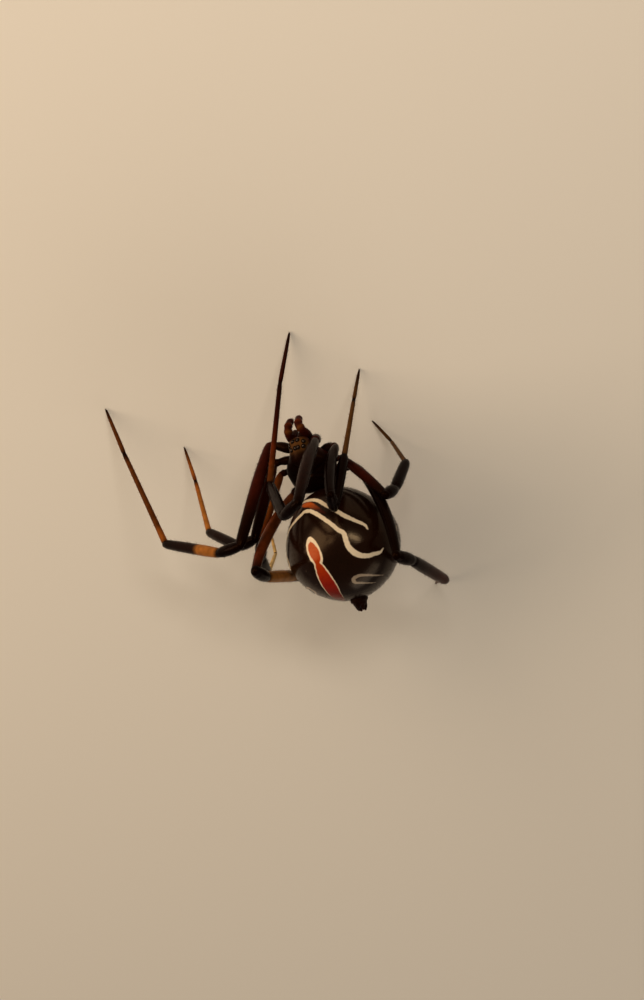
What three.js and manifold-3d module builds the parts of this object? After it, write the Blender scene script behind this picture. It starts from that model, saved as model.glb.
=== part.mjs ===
// A young female black widow spider at life size: a still model that stands on its eight feet.
// Millimetres, +Z up, the head towards -Y and the animal's left side towards +X.
// z = 0 is the ground, and the origin is the middle of the ground that the spider spans.
import * as THREE from "three";
import { mergeVertices } from "three/addons/utils/BufferGeometryUtils.js";
import Module from "manifold-3d";

const wasm = await Module();
wasm.setup();

// Cut between neighbouring pieces, and the radius of the thinnest limb.
const CUT = 0.04;
const THIN_RADIUS = 0.25;

// The abdomen: a globe that narrows a little towards the front, with a low swelling at the rear.
const ABDOMEN = { length: 5.9, width: 6.14, height: 5.36, narrowing: 0.13 };
const REAR_SWELLING = { height: 0.08, spread: 20 };
const ABDOMEN_AT = [-3.05, 0.98, 6.21];
const ABDOMEN_TURN = { noseDown: 17, leanLeft: 12.5 };

// The spinnerets sit this many degrees above the rear pole of the abdomen, in a ring on a mound.
// Each pair is given as: share of the ring to the side, share of it upwards, share of full size.
const SPINNERETS_ABOVE = 14;
const SPINNERET_MOUND = { radius: 0.48, height: 0.18, root: 0.3 };
const SPINNERET = { length: 0.42, base: 0.14, shaft: 0.13, tip: 0.08, ring: 0.19 };
const SPINNERET_PAIRS = [[1, -0.8, 1], [0.5, 0, 0.6], [1, 0.55, 0.9]];
const SPINNERET_GATHER = { aside: 0.55, upwards: 0.7 };
const ANAL_TUBERCLE = { length: 0.24, shaft: 0.1, base: 0.13, tip: 0.07, offset: 0.31, tipOffset: 0.27 };

// The stalk between the body parts, from the rear of the sternum to inside the abdomen.
const PEDICEL = {
  from: [-1.06, 0, -0.7],
  bend: [-1.66, 0, -0.6],
  to: [2.0, 0, -1.1],
  radii: [0.19, 0.19, 0.27],
};

// The cephalothorax, measured from its own centre: forwards, to the side and upwards.
const HEAD_END_AT = [-2.77, -2.78, 4.19];
const HEAD_END_TURN = { noseDown: 9, leanLeft: 4 };
const CARAPACE = { length: 3.04, width: 2.7, headWidth: 1.32, rim: -0.24, keel: 0.1, bluntness: 4 };
// Where the head widens into the thorax, and how high the back rises: from -1 at the rear of
// the carapace to 1 at its front.
const CARAPACE_NECK = { start: 0.72, end: -0.1 };
const CARAPACE_RIDGE = [[-1, 0.5], [-0.7, 0.5], [-0.25, 0.6], [0.35, 0.8], [0.8, 0.66], [1, 0.66]];
const CARAPACE_SHOULDER = 0.85;
const STERNUM = { length: 1.95, width: 1.36, top: -0.4, bottom: -0.98, taper: 0.28 };
const CHELICERA = { top: [1.36, 0.24, -0.2], bottom: [1.58, 0.22, -0.92], base: 0.22, tip: 0.17 };
const FANG = { knuckle: [1.64, 0.19, -0.94], point: [1.6, 0.1, -1.06], radii: [0.08, 0.06, 0.03] };
const MOUTH_LEVEL = -0.78;
const LABIUM = { from: [1.02, 0, MOUTH_LEVEL], to: [1.32, 0, MOUTH_LEVEL], radius: 0.21 };
const ENDITE = { from: [1.0, 0.33, MOUTH_LEVEL], to: [1.5, 0.2, MOUTH_LEVEL - 0.04], radius: 0.17 };
const EYE = { radius: 0.075, rise: 0.06, bed: 0.03 };

// Limb lengths by pair, and the factors by which its radii differ from the profiles below:
// `shank` for the patella and the tibia, `stout` for the rest.
const PAIRS = {
  1: {
    coxa: 1.25, femur: 6.0, patella: 1.45, tibia: 4.6, metatarsus: 5.5, tarsus: 2.6,
    stout: 1, shank: 1.04,
  },
  2: {
    coxa: 1.1, femur: 4.5, patella: 1.2, tibia: 3.3, metatarsus: 3.6, tarsus: 1.95,
    stout: 0.88, shank: 1,
  },
  3: {
    coxa: 1.05, femur: 3.6, patella: 1.05, tibia: 2.42, metatarsus: 2.75, tarsus: 1.5,
    stout: 0.78, shank: 1.06,
  },
  4: {
    coxa: 1.5, femur: 6.3, patella: 1.35, tibia: 4.4, metatarsus: 4.8, tarsus: 2.1,
    stout: 0.86, shank: 1.14,
  },
};

// How far the middle of each femur bows outwards and upwards, as shares of its length.
const FEMUR_BOW = { 1: [0, 0.04], 2: [0, 0.04], 3: [0.02, 0.02], 4: [0.06, 0.01] };
const COXA_BOW = [0, -0.1];
const STRAIGHT = [0, 0];

// Where each coxa leaves the sternum: forwards, to the side, upwards.
const COXA_ROOT = {
  1: [0.85, 0.68, -0.62],
  2: [0.32, 0.84, -0.62],
  3: [-0.24, 0.84, -0.6],
  4: [-0.78, 0.72, -0.56],
};

// Radius along each length, from its root (0) to its far end (1).
const COXA_PROFILE = [[0, 0.25], [0.25, 0.29], [0.6, 0.26], [0.72, 0.25], [0.86, 0.28], [1, 0.24]];
const FEMUR_PROFILE = [[0, 0.24], [0.1, 0.3], [0.35, 0.355], [0.6, 0.35], [0.85, 0.31], [1, 0.27]];
const PATELLA_PROFILE = [[0, 0.27], [0.5, 0.31], [1, 0.27]];
const TIBIA_PROFILE = [[0, 0.25], [0.25, 0.285], [0.7, 0.275], [1, 0.25]];

// The pose: azimuth and elevation in degrees of each length, root to tip, azimuth 0 towards +X
// and 90 towards +Y. The tarsus has an azimuth only, because it slopes down to the ground.
const POSE = {
  left: {
    1: [[-29, -10], [49, 61], [8, -19], [-4, -38], [-76, -40], [-82]],
    2: [[-11, -2], [52, 61], [15, -20], [-6, -49], [-69, -62], [-86]],
    3: [[-4, -9], [48, 38], [60, -6], [65, -38], [63, -82], [-79]],
    4: [[33, -17], [15, 78], [86, -45], [95, -56], [107, -62], [112]],
  },
  right: {
    1: [[-128, 60], [66, 89], [28, -21], [3, -70], [-116, -50], [-125]],
    2: [[-170, 35], [123, 85], [68, -28], [-122, -69], [-120, -66], [-122]],
    3: [[178, 32], [143, 46], [127, -68], [-177, -82], [-15, -68], [-58]],
    4: [[168, 11], [120, 61], [105, -42], [89, -43], [51, -58], [46]],
  },
};

// The palps: how far each joint lies forwards, to the side and upwards from the centre of the
// cephalothorax, and its radius. The left palp is held closer to the middle than the right.
const PALP = [
  { forward: 1.14, aside: { left: 0.42, right: 0.5 }, up: -0.66, radius: 0.24 },
  { forward: 1.42, aside: { left: 0.45, right: 0.57 }, up: -0.42, radius: 0.25 },
  { forward: 1.74, aside: { left: 0.32, right: 0.48 }, up: -0.2, radius: 0.25 },
  { forward: 2.04, aside: { left: 0.24, right: 0.36 }, up: -0.3, radius: 0.25 },
  { forward: 2.18, aside: { left: 0.22, right: 0.34 }, up: -0.6, radius: 0.25 },
  { forward: 2.2, aside: { left: 0.16, right: 0.27 }, up: -1.16, radius: 0.17 },
];

// Eyes as seen from a point inside the head: degrees to the side and degrees upwards.
const EYE_CENTRE = [0.85, 0, -0.02];
const EYES = {
  front_middle: [13, 17],
  front_side: [44, 15],
  rear_middle: [17, 52],
  rear_side: [58, 36],
};

// Sides of the tubes that the limbs are made of.
const LIMB_SIDES = 10;
const STALK_SIDES = 12;
const MOUND_SIDES = 14;
const CONE_SIDES = 8;

function finish(color, roughness) {
  return () => new THREE.MeshStandardMaterial({ color, roughness, metalness: 0 });
}

const glossyBlack = finish(0x120c0a, 0.18);
const darkBrown = finish(0x3a1c10, 0.35);
const reddishBrown = finish(0x6b2f16, 0.35);
const kneeBlack = finish(0x1a100c, 0.3);
const bandedTibia = finish(0x4a2412, 0.35);
const footBrown = finish(0x7a4420, 0.4);
const eyeBlack = finish(0x050505, 0.08);

const SIDES = [[1, "left"], [-1, "right"]];

const spider = new THREE.Group();

function add(name, geometry, material) {
  const mesh = new THREE.Mesh(geometry, material());
  mesh.name = name;
  spider.add(mesh);
}

const radians = THREE.MathUtils.degToRad;

function heading(azimuth, elevation) {
  const flat = Math.cos(radians(elevation));
  return new THREE.Vector3(
    flat * Math.cos(radians(azimuth)),
    flat * Math.sin(radians(azimuth)),
    Math.sin(radians(elevation)),
  );
}

// The place of a body part: +Y of its own frame is backwards, +X is its left.
function bodyFrame(at, turn) {
  const angles = new THREE.Euler(radians(turn.noseDown), radians(turn.leanLeft), 0, "ZXY");
  return new THREE.Matrix4().makeRotationFromEuler(angles).setPosition(...at);
}

const abdomenFrame = bodyFrame(ABDOMEN_AT, ABDOMEN_TURN);
const headEndFrame = bodyFrame(HEAD_END_AT, HEAD_END_TURN);

// A point of the cephalothorax given forwards, to one side (left is +1) and upwards.
function onHeadEnd([forward, aside, up], side = 1) {
  return new THREE.Vector3(side * aside, -forward, up).applyMatrix4(headEndFrame);
}

// A point of the abdomen given forwards, to the left and upwards.
function onAbdomen([forward, aside, up]) {
  return new THREE.Vector3(aside, -forward, up).applyMatrix4(abdomenFrame);
}

const blend = (from, to, share) => from + (to - from) * share;

// The value at t of a profile given as [t, value] pairs.
function along(profile, t) {
  const next = Math.max(1, profile.findIndex(([at]) => at >= t - 1e-9));
  const [[fromT, from], [toT, to]] = [profile[next - 1], profile[next]];
  return blend(from, to, (t - fromT) / (toT - fromT));
}

// One closed surface with shared corners, which is what booleans and export need.
function welded(geometry) {
  const bare = geometry.clone();
  bare.deleteAttribute("normal");
  bare.deleteAttribute("uv");
  return mergeVertices(bare, 1e-5);
}

function toSolid(geometry) {
  const merged = welded(geometry);
  const vertProperties = merged.attributes.position.array;
  const triVerts = new Uint32Array(merged.index.array);
  return new wasm.Manifold(new wasm.Mesh({ numProp: 3, vertProperties, triVerts }));
}

function fromSolid(solid) {
  const mesh = solid.getMesh();
  return new THREE.BufferGeometry()
    .setAttribute("position", new THREE.BufferAttribute(new Float32Array(mesh.vertProperties), 3))
    .setIndex(new THREE.BufferAttribute(new Uint32Array(mesh.triVerts), 1));
}

function joined(...geometries) {
  return fromSolid(geometries.map(toSolid).reduce((all, next) => all.add(next)));
}

function cutBy(geometry, ...tools) {
  return fromSolid(tools.map(toSolid).reduce((left, tool) => left.subtract(tool), toSolid(geometry)));
}

// A sphere whose every point is moved by shape(unit point), with its poles along Y.
function shapedGlobe(shape, around, lengthwise) {
  const globe = welded(new THREE.SphereGeometry(1, around, lengthwise));
  const place = globe.attributes.position;
  const unit = new THREE.Vector3();
  for (let i = 0; i < place.count; i += 1) {
    const moved = shape(unit.fromBufferAttribute(place, i));
    place.setXYZ(i, moved.x, moved.y, moved.z);
  }
  return globe;
}

// The same closed surface with every point moved outwards by one cut.
function grown(geometry) {
  const larger = welded(geometry);
  larger.computeVertexNormals();
  const { position, normal } = larger.attributes;
  for (let i = 0; i < position.count; i += 1) {
    const point = new THREE.Vector3().fromBufferAttribute(position, i);
    point.addScaledVector(new THREE.Vector3().fromBufferAttribute(normal, i), CUT);
    position.setXYZ(i, point.x, point.y, point.z);
  }
  return larger;
}

// A closed tube through `points` with one radius each. Its end rings are slid along the tube
// until they lie in the planes { at, normal }, so that the ends of two tubes can meet.
function tube(points, radii, sides, startPlane, endPlane) {
  const last = points.length - 1;
  const across = new THREE.Vector3(0.36, 0.48, 0.8);
  const corners = [];
  points.forEach((point, i) => {
    const before = points[Math.max(0, i - 1)];
    const after = points[Math.min(last, i + 1)];
    const forward = after.clone().sub(before).normalize();
    across.addScaledVector(forward, -across.dot(forward)).normalize();
    const upwards = new THREE.Vector3().crossVectors(forward, across);
    const plane = i === 0 ? startPlane : i === last ? endPlane : null;
    for (let s = 0; s < sides; s += 1) {
      const angle = (2 * Math.PI * s) / sides;
      const corner = point
        .clone()
        .addScaledVector(across, radii[i] * Math.cos(angle))
        .addScaledVector(upwards, radii[i] * Math.sin(angle));
      if (plane) {
        const short = plane.at.clone().sub(corner).dot(plane.normal) / forward.dot(plane.normal);
        corner.addScaledVector(forward, short);
      }
      corners.push(corner);
    }
  });
  const faces = [];
  for (let i = 0; i < last; i += 1) {
    for (let s = 0; s < sides; s += 1) {
      const [a, b] = [i * sides + s, i * sides + ((s + 1) % sides)];
      faces.push([a, b, b + sides], [a, b + sides, a + sides]);
    }
  }
  for (const [ring, flip] of [[0, true], [last, false]]) {
    const middle = new THREE.Vector3();
    for (let s = 0; s < sides; s += 1) middle.addScaledVector(corners[ring * sides + s], 1 / sides);
    corners.push(middle);
    for (let s = 0; s < sides; s += 1) {
      const [a, b] = [ring * sides + s, ring * sides + ((s + 1) % sides)];
      faces.push(flip ? [b, a, corners.length - 1] : [a, b, corners.length - 1]);
    }
  }
  return new THREE.BufferGeometry().setFromPoints(corners).setIndex(faces.flat());
}

// The rings of a lobe: share of its length, step along it and radius, both in full radii.
const LOBE_RINGS = [[0, 0, 0.35], [0, 0.45, 0.85], [0.3, 0, 1], [0.7, 0, 1], [1, -0.45, 0.85], [1, 0, 0.35]];

// A tube of round sections with rounded ends, for short blunt pieces.
function lobe(from, to, radius, tip = radius) {
  const forward = to.clone().sub(from).normalize();
  const points = [];
  const radii = [];
  for (const [share, step, fullness] of LOBE_RINGS) {
    const full = blend(radius, tip, share);
    points.push(from.clone().lerp(to, share).addScaledVector(forward, step * full));
    radii.push(full * fullness);
  }
  return tube(points, radii, LIMB_SIDES, null, null);
}

// Abdomen.

function abdomenSurface(unit) {
  const ahead = Math.max(0, -unit.y);
  const waist = 1 - ABDOMEN.narrowing * ahead;
  const point = new THREE.Vector3(
    (ABDOMEN.width / 2) * waist * unit.x,
    (ABDOMEN.length / 2) * unit.y,
    (ABDOMEN.height / 2) * waist * unit.z,
  );
  const away = THREE.MathUtils.radToDeg(unit.angleTo(spinneretDirection));
  const swell = REAR_SWELLING.height * Math.exp(-((away / REAR_SWELLING.spread) ** 2));
  return point.addScaledVector(unit, swell);
}

const rearRise = radians(SPINNERETS_ABOVE);
const spinneretDirection = new THREE.Vector3(0, Math.cos(rearRise), Math.sin(rearRise));
const abdomenGeometry = shapedGlobe(abdomenSurface, 30, 20).applyMatrix4(abdomenFrame);
add("abdomen", abdomenGeometry, glossyBlack);

// Spinnerets: a low mound that carries three pairs of cones and the anal tubercle above them.

function spinnerets() {
  const axis = spinneretDirection;
  const upwards = new THREE.Vector3(0, -axis.z, axis.y);
  const middle = abdomenSurface(axis).addScaledVector(axis, CUT);
  const at = (out, aside, up) =>
    middle.clone().addScaledVector(axis, out).setX(aside).addScaledVector(upwards, up);
  const { radius, height, root } = SPINNERET_MOUND;
  const rings = [[-root, 1], [0, 1], [height * 0.75, 0.72], [height, 0.4]];
  const mound = rings.map(([out]) => at(out, 0, 0));
  const pieces = [tube(mound, rings.map(([, share]) => radius * share), MOUND_SIDES, null, null)];
  for (const [side] of SIDES) {
    for (const [aside, up, size] of SPINNERET_PAIRS) {
      const foot = at(0, side * aside * SPINNERET.ring, up * SPINNERET.ring);
      const end = at(
        height + SPINNERET.length * size,
        side * aside * SPINNERET.ring * SPINNERET_GATHER.aside,
        up * SPINNERET.ring * SPINNERET_GATHER.upwards,
      );
      const widths = [SPINNERET.base, SPINNERET.shaft, SPINNERET.tip].map((width) => width * Math.sqrt(size));
      pieces.push(tube([foot, foot.clone().lerp(end, 0.7), end], widths, CONE_SIDES, null, null));
    }
  }
  const tubercle = [
    at(0, 0, ANAL_TUBERCLE.offset),
    at(height + ANAL_TUBERCLE.shaft, 0, ANAL_TUBERCLE.offset),
    at(height + ANAL_TUBERCLE.length, 0, ANAL_TUBERCLE.tipOffset),
  ];
  const tubercleRadii = [ANAL_TUBERCLE.base, ANAL_TUBERCLE.base, ANAL_TUBERCLE.tip];
  pieces.push(tube(tubercle, tubercleRadii, CONE_SIDES, null, null));
  return joined(...pieces).applyMatrix4(abdomenFrame);
}

add("spinnerets", cutBy(spinnerets(), grown(abdomenGeometry)), darkBrown);

// Carapace: a pear-shaped shield, narrow and high at the head, with a dip behind its middle.

function carapaceSurface(unit) {
  const ahead = -unit.y;
  const spread = THREE.MathUtils.smoothstep(-ahead, -CARAPACE_NECK.start, -CARAPACE_NECK.end);
  const blunt = (1 - Math.abs(ahead) ** CARAPACE.bluntness) ** (1 / CARAPACE.bluntness);
  const round = Math.max(1e-6, Math.hypot(unit.x, unit.z));
  const halfWidth = blend(CARAPACE.headWidth / 2, CARAPACE.width / 2, spread) * blunt;
  const height = along(CARAPACE_RIDGE, ahead);
  const rise = unit.z / round;
  const depth = rise > 0 ? height * blunt * rise ** CARAPACE_SHOULDER : CARAPACE.keel * blunt * rise;
  return new THREE.Vector3(
    (halfWidth * unit.x) / round,
    (CARAPACE.length / 2) * unit.y,
    CARAPACE.rim + depth,
  );
}

const carapaceGeometry = shapedGlobe(carapaceSurface, 24, 20).applyMatrix4(headEndFrame);
add("carapace", carapaceGeometry, reddishBrown);

// Sternum: the heart-shaped plate and the body above it, between the roots of the legs.

function sternumSurface(unit) {
  const ahead = -unit.y;
  const round = Math.max(1e-6, Math.hypot(unit.x, unit.z));
  const blunt = (1 - Math.abs(ahead) ** 3) ** 0.5;
  const halfWidth = (STERNUM.width / 2) * blunt * (1 - STERNUM.taper * Math.max(0, -ahead));
  const middle = (STERNUM.top + STERNUM.bottom) / 2;
  return new THREE.Vector3(
    (halfWidth * unit.x) / round,
    (STERNUM.length / 2) * unit.y,
    middle + ((STERNUM.top - STERNUM.bottom) / 2) * blunt * (unit.z / round),
  );
}

const sternumGeometry = shapedGlobe(sternumSurface, 16, 12).applyMatrix4(headEndFrame);
add("sternum", sternumGeometry, darkBrown);

// Pedicel: the short stalk from the rear of the cephalothorax to the front of the abdomen.

const stalkFrom = onHeadEnd(PEDICEL.from);
const stalkTo = onAbdomen(PEDICEL.to);
const stalk = tube([stalkFrom, onHeadEnd(PEDICEL.bend), stalkTo], PEDICEL.radii, STALK_SIDES, null, null);
add("pedicel", cutBy(stalk, grown(abdomenGeometry)), darkBrown);

// Mouthparts under the head: the labium with an endite on each side.

const mouthparts = [lobe(onHeadEnd(LABIUM.from), onHeadEnd(LABIUM.to), LABIUM.radius)];
for (const [side] of SIDES) {
  mouthparts.push(lobe(onHeadEnd(ENDITE.from, side), onHeadEnd(ENDITE.to, side), ENDITE.radius));
}

const shellCutters = [sternumGeometry, carapaceGeometry].map(grown);
const headCutters = [...shellCutters, ...mouthparts.map(grown)];
add("mouthparts", cutBy(joined(...mouthparts), ...shellCutters), darkBrown);

// Chelicerae: two upright jaws below the face, each with its fang folded inwards.

function jaw(side) {
  const top = onHeadEnd(CHELICERA.top, side);
  return lobe(top, onHeadEnd(CHELICERA.bottom, side), CHELICERA.base, CHELICERA.tip);
}

function fang(side) {
  const knuckle = onHeadEnd(FANG.knuckle, side);
  const point = onHeadEnd(FANG.point, side);
  const middle = knuckle.clone().lerp(point, 0.6);
  return tube([knuckle, middle, point], FANG.radii, CONE_SIDES, null, null);
}

for (const [side, word] of SIDES) {
  add(`chelicera_${word}`, cutBy(joined(jaw(side), fang(side)), ...headCutters), reddishBrown);
}

// Eyes: eight low domes on the front of the head, in two rows of four.

const headMesh = new THREE.Mesh(carapaceGeometry, new THREE.MeshBasicMaterial());
for (const [place, [aside, up]] of Object.entries(EYES)) {
  for (const [side, word] of SIDES) {
    const inside = onHeadEnd(EYE_CENTRE);
    const outwards = onHeadEnd([
      EYE_CENTRE[0] + Math.cos(radians(up)) * Math.cos(radians(aside)),
      Math.cos(radians(up)) * Math.sin(radians(aside)),
      EYE_CENTRE[2] + Math.sin(radians(up)),
    ], side).sub(inside);
    const far = inside.clone().addScaledVector(outwards, CARAPACE.length);
    const ray = new THREE.Raycaster(far, outwards.clone().negate());
    const { point, face } = ray.intersectObject(headMesh)[0];
    const profile = [
      new THREE.Vector2(0, -EYE.bed),
      new THREE.Vector2(EYE.radius, -EYE.bed),
      new THREE.Vector2(EYE.radius, 0),
      new THREE.Vector2(EYE.radius * Math.SQRT1_2, EYE.rise * Math.SQRT1_2),
      new THREE.Vector2(0, EYE.rise),
    ];
    const dome = new THREE.LatheGeometry(profile, LIMB_SIDES);
    const upright = new THREE.Quaternion().setFromUnitVectors(new THREE.Vector3(0, 1, 0), face.normal);
    const seat = point.clone().addScaledVector(face.normal, EYE.bed + CUT / 2);
    dome.applyQuaternion(upright).translate(seat.x, seat.y, seat.z);
    add(`eye_${place}_${word}`, dome, eyeBlack);
  }
}

// Legs: coxa with trochanter, femur, patella, tibia, and the foot of metatarsus and tarsus.
// Neighbouring lengths meet in the plane that halves the bend between them.

function legJoints(pair, side) {
  const word = side > 0 ? "left" : "right";
  const sizes = PAIRS[pair];
  const lengths = [sizes.coxa, sizes.femur, sizes.patella, sizes.tibia, sizes.metatarsus];
  const joints = [onHeadEnd(COXA_ROOT[pair], side)];
  const bearing = POSE[word][pair];
  lengths.forEach((length, i) => {
    joints.push(joints[i].clone().addScaledVector(heading(...bearing[i]), length));
  });
  const ankle = joints[5];
  const slope = THREE.MathUtils.radToDeg(Math.asin(-ankle.z / sizes.tarsus));
  joints.push(ankle.clone().addScaledVector(heading(bearing[5][0], slope), sizes.tarsus));
  return joints;
}

// The plane across a joint, moved off it by half a cut towards `towards`.
function jointPlane(before, joint, after, towards) {
  const arriving = joint.clone().sub(before).normalize();
  const leaving = after.clone().sub(joint).normalize();
  const normal = arriving.add(leaving).normalize();
  return { at: joint.clone().addScaledVector(normal, (towards * CUT) / 2), normal };
}

// Points from one joint to the next at the stations of a profile. The middle bows outwards and
// upwards by the two shares of the length in `bow`.
function bowedPath(from, to, profile, bow, side) {
  const forward = to.clone().sub(from);
  const length = forward.length();
  forward.normalize();
  const push = new THREE.Vector3(side * bow[0], 0, bow[1]);
  const depth = length * push.length();
  push.addScaledVector(forward, -push.dot(forward)).normalize();
  return profile.map(([t]) => from.clone().lerp(to, t).addScaledVector(push, 4 * t * (1 - t) * depth));
}

const scaledRadii = (profile, stout) => profile.map(([, radius]) => Math.max(THIN_RADIUS, radius * stout));

function legLength(joints, i, profile, stout, bow, side) {
  const path = bowedPath(joints[i], joints[i + 1], profile, bow, side);
  const start = i === 0 ? null : jointPlane(joints[i - 1], joints[i], joints[i + 1], 1);
  const end = jointPlane(joints[i], joints[i + 1], joints[i + 2], -1);
  return tube(path, scaledRadii(profile, stout), LIMB_SIDES, start, end);
}

// Metatarsus and tarsus in one bent tube, cut off level with the ground.
function foot(joints) {
  const [knee, heel, ankle, tip] = joints.slice(3);
  const path = [heel, heel.clone().lerp(ankle, 0.5), ankle, ankle.clone().lerp(tip, 0.6), tip];
  const start = jointPlane(knee, heel, ankle, 1);
  const ground = { at: new THREE.Vector3(0, 0, 0), normal: new THREE.Vector3(0, 0, 1) };
  return tube(path, path.map(() => THIN_RADIUS), LIMB_SIDES, start, ground);
}

function coxa(pair, side) {
  return legLength(legJoints(pair, side), 0, COXA_PROFILE, PAIRS[pair].stout, COXA_BOW, side);
}

for (const [side, word] of SIDES) {
  for (const pair of [1, 2, 3, 4]) {
    const { stout, shank } = PAIRS[pair];
    const joints = legJoints(pair, side);
    const leg = `leg${pair}_${word}`;
    add(`${leg}_coxa`, cutBy(coxa(pair, side), ...headCutters), reddishBrown);
    add(`${leg}_femur`, legLength(joints, 1, FEMUR_PROFILE, stout, FEMUR_BOW[pair], side), reddishBrown);
    add(`${leg}_patella`, legLength(joints, 2, PATELLA_PROFILE, shank, STRAIGHT, side), kneeBlack);
    add(`${leg}_tibia`, legLength(joints, 3, TIBIA_PROFILE, shank, STRAIGHT, side), bandedTibia);
    add(`${leg}_foot`, foot(joints), footBrown);
  }
}

// Palps: the feeler-like limbs beside the mouth, held together in front of the face.

for (const [side, word] of SIDES) {
  const points = PALP.map(({ forward, aside, up }) => onHeadEnd([forward, aside[word], up], side));
  const palp = tube(points, PALP.map((joint) => joint.radius), LIMB_SIDES, null, null);
  add(`palp_${word}`, cutBy(palp, grown(jaw(side)), grown(coxa(1, side)), ...headCutters), reddishBrown);
}

export default spider;
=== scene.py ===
# %% [markdown]
# # A young female black widow spider
# The script dresses the plain solids of the spider in its real surfaces: glossy horny cuticle,
# coloured marks under it, jointed limbs and short bristles. Lengths below are in millimetres
# and become metres when a mesh is made. +Z is up, the head looks towards -Y, and the animal's
# left side is towards +X.

import math
from functools import partial

import bpy
import numpy as np
from mathutils import Matrix, Vector
from mathutils.bvhtree import BVHTree


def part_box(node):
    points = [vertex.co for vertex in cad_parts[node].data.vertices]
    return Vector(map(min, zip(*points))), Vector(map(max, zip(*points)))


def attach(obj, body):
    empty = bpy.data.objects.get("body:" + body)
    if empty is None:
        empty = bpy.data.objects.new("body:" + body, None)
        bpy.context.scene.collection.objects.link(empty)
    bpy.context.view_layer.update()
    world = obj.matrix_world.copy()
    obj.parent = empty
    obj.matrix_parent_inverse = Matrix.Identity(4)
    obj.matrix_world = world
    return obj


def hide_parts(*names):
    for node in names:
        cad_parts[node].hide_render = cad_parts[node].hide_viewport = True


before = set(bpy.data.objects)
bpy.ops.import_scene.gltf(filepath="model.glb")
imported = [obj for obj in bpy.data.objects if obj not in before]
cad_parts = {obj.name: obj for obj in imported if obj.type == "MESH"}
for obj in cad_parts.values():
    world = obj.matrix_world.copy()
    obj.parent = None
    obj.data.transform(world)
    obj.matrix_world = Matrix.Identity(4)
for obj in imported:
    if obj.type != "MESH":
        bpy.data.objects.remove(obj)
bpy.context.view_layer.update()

# %% [markdown]
# ## Two small helpers
# Colours are written as the hex values that an artist would read off a screen, and one function
# turns them into the linear values that a shader wants. Every shader and geometry node is made
# by one other function, which takes its settings by name. An input is a value, a socket to link,
# or another node, which stands for that node's first output.

# %% Colour and node helpers
MM = 0.001


def linear(hex_colour):
    shares = [int(hex_colour[i : i + 2], 16) / 255 for i in (1, 3, 5)]
    return (*(s / 12.92 if s <= 0.04045 else ((s + 0.055) / 1.055) ** 2.4 for s in shares), 1.0)


def add_node(tree, kind, inputs=None, **settings):
    node = tree.nodes.new(kind)
    for name, value in settings.items():
        setattr(node, name, value)
    for key, value in (inputs or {}).items():
        if isinstance(value, bpy.types.Node):
            value = value.outputs[0]
        if isinstance(value, bpy.types.NodeSocket):
            tree.links.new(value, node.inputs[key])
        else:
            node.inputs[key].default_value = value
    return node


print("mid grey becomes", round(linear("#808080")[0], 3))

# %% [markdown]
# ## From points to a piece
# A skin is a mesh whose vertices also carry numbers: how far they are from a mark, which way the
# bristles lie, how many bristles grow there. Materials and Geometry Nodes read them by name.

# %% Mesh helpers
ATTRIBUTE_FIELD = {"FLOAT": "value", "FLOAT_VECTOR": "vector", "FLOAT_COLOR": "color"}


def write_attribute(mesh, name, values, kind="FLOAT"):
    layer = mesh.attributes.new(name, kind, "POINT")
    layer.data.foreach_set(ATTRIBUTE_FIELD[kind], np.asarray(values, np.float32).ravel())


def read_attribute(mesh, name):
    values = np.empty(len(mesh.vertices), np.float32)
    mesh.attributes[name].data.foreach_get("value", values)
    return values


def new_mesh(name, points, edges=(), faces=()):
    mesh = bpy.data.meshes.new(name)
    mesh.from_pydata((np.asarray(points) * MM).tolist(), list(edges), list(faces))
    mesh.shade_smooth()
    return mesh


def face_outwards(mesh):
    """Turns a closed mesh the right way round, going by the sign of its volume."""
    places = np.empty(len(mesh.vertices) * 3, np.float32)
    mesh.vertices.foreach_get("co", places)
    mesh.calc_loop_triangles()
    corners = np.empty(len(mesh.loop_triangles) * 3, np.int32)
    mesh.loop_triangles.foreach_get("vertices", corners)
    a, b, c = places.reshape(-1, 3)[corners].reshape(-1, 3, 3).transpose(1, 0, 2)
    if np.einsum("ij,ij->i", a, np.cross(b, c)).sum() < 0:
        mesh.flip_normals()


def new_object(name, data):
    thing = bpy.data.objects.new(name, data)
    bpy.context.scene.collection.objects.link(thing)
    return thing


def place_piece(mesh, stands_for=(), material=None):
    """Makes the mesh an object on the one body, with the given finish, if any, and hides what it stands for.
    """
    piece = new_object(mesh.name, mesh)
    if material:
        mesh.materials.clear()
        mesh.materials.append(material)
    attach(piece, "root")
    if stands_for:
        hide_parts(*stands_for)
    print(f"{mesh.name}: {len(mesh.vertices)} vertices, {len(mesh.polygons)} faces")


# %% [markdown]
# ## Where the body parts are
# The abdomen and the cephalothorax each have their own frame: forwards, to the side, upwards.
# The numbers repeat those of the solids, because the skins lie just inside them.

# %% Body frames
SKIN_DEPTH = 0.03
ABDOMEN = {"length": 5.9, "width": 6.14, "height": 5.36, "narrowing": 0.13}
REAR_SWELLING = {"height": 0.08, "spread": 20}
SPINNERETS_ABOVE = 14


def body_turn(nose_down, lean_left):
    down, lean = math.radians(nose_down), math.radians(lean_left)
    about_x = np.array(Matrix.Rotation(down, 3, "X"))
    about_y = np.array(Matrix.Rotation(lean, 3, "Y"))
    return about_x @ about_y


ABDOMEN_AT, ABDOMEN_TURN = np.array([-3.05, 0.98, 6.21]), body_turn(17, 12.5)
HEAD_END_AT, HEAD_END_TURN = np.array([-2.77, -2.78, 4.19]), body_turn(9, 4)


def on_abdomen(points):
    return ABDOMEN_AT + np.asarray(points) @ ABDOMEN_TURN.T


def on_head_end(forward, aside, up, side=1):
    """A point of the cephalothorax: forwards, to the side (+1 is left) and upwards."""
    return HEAD_END_AT + HEAD_END_TURN @ np.array([side * aside, -forward, up])


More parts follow.
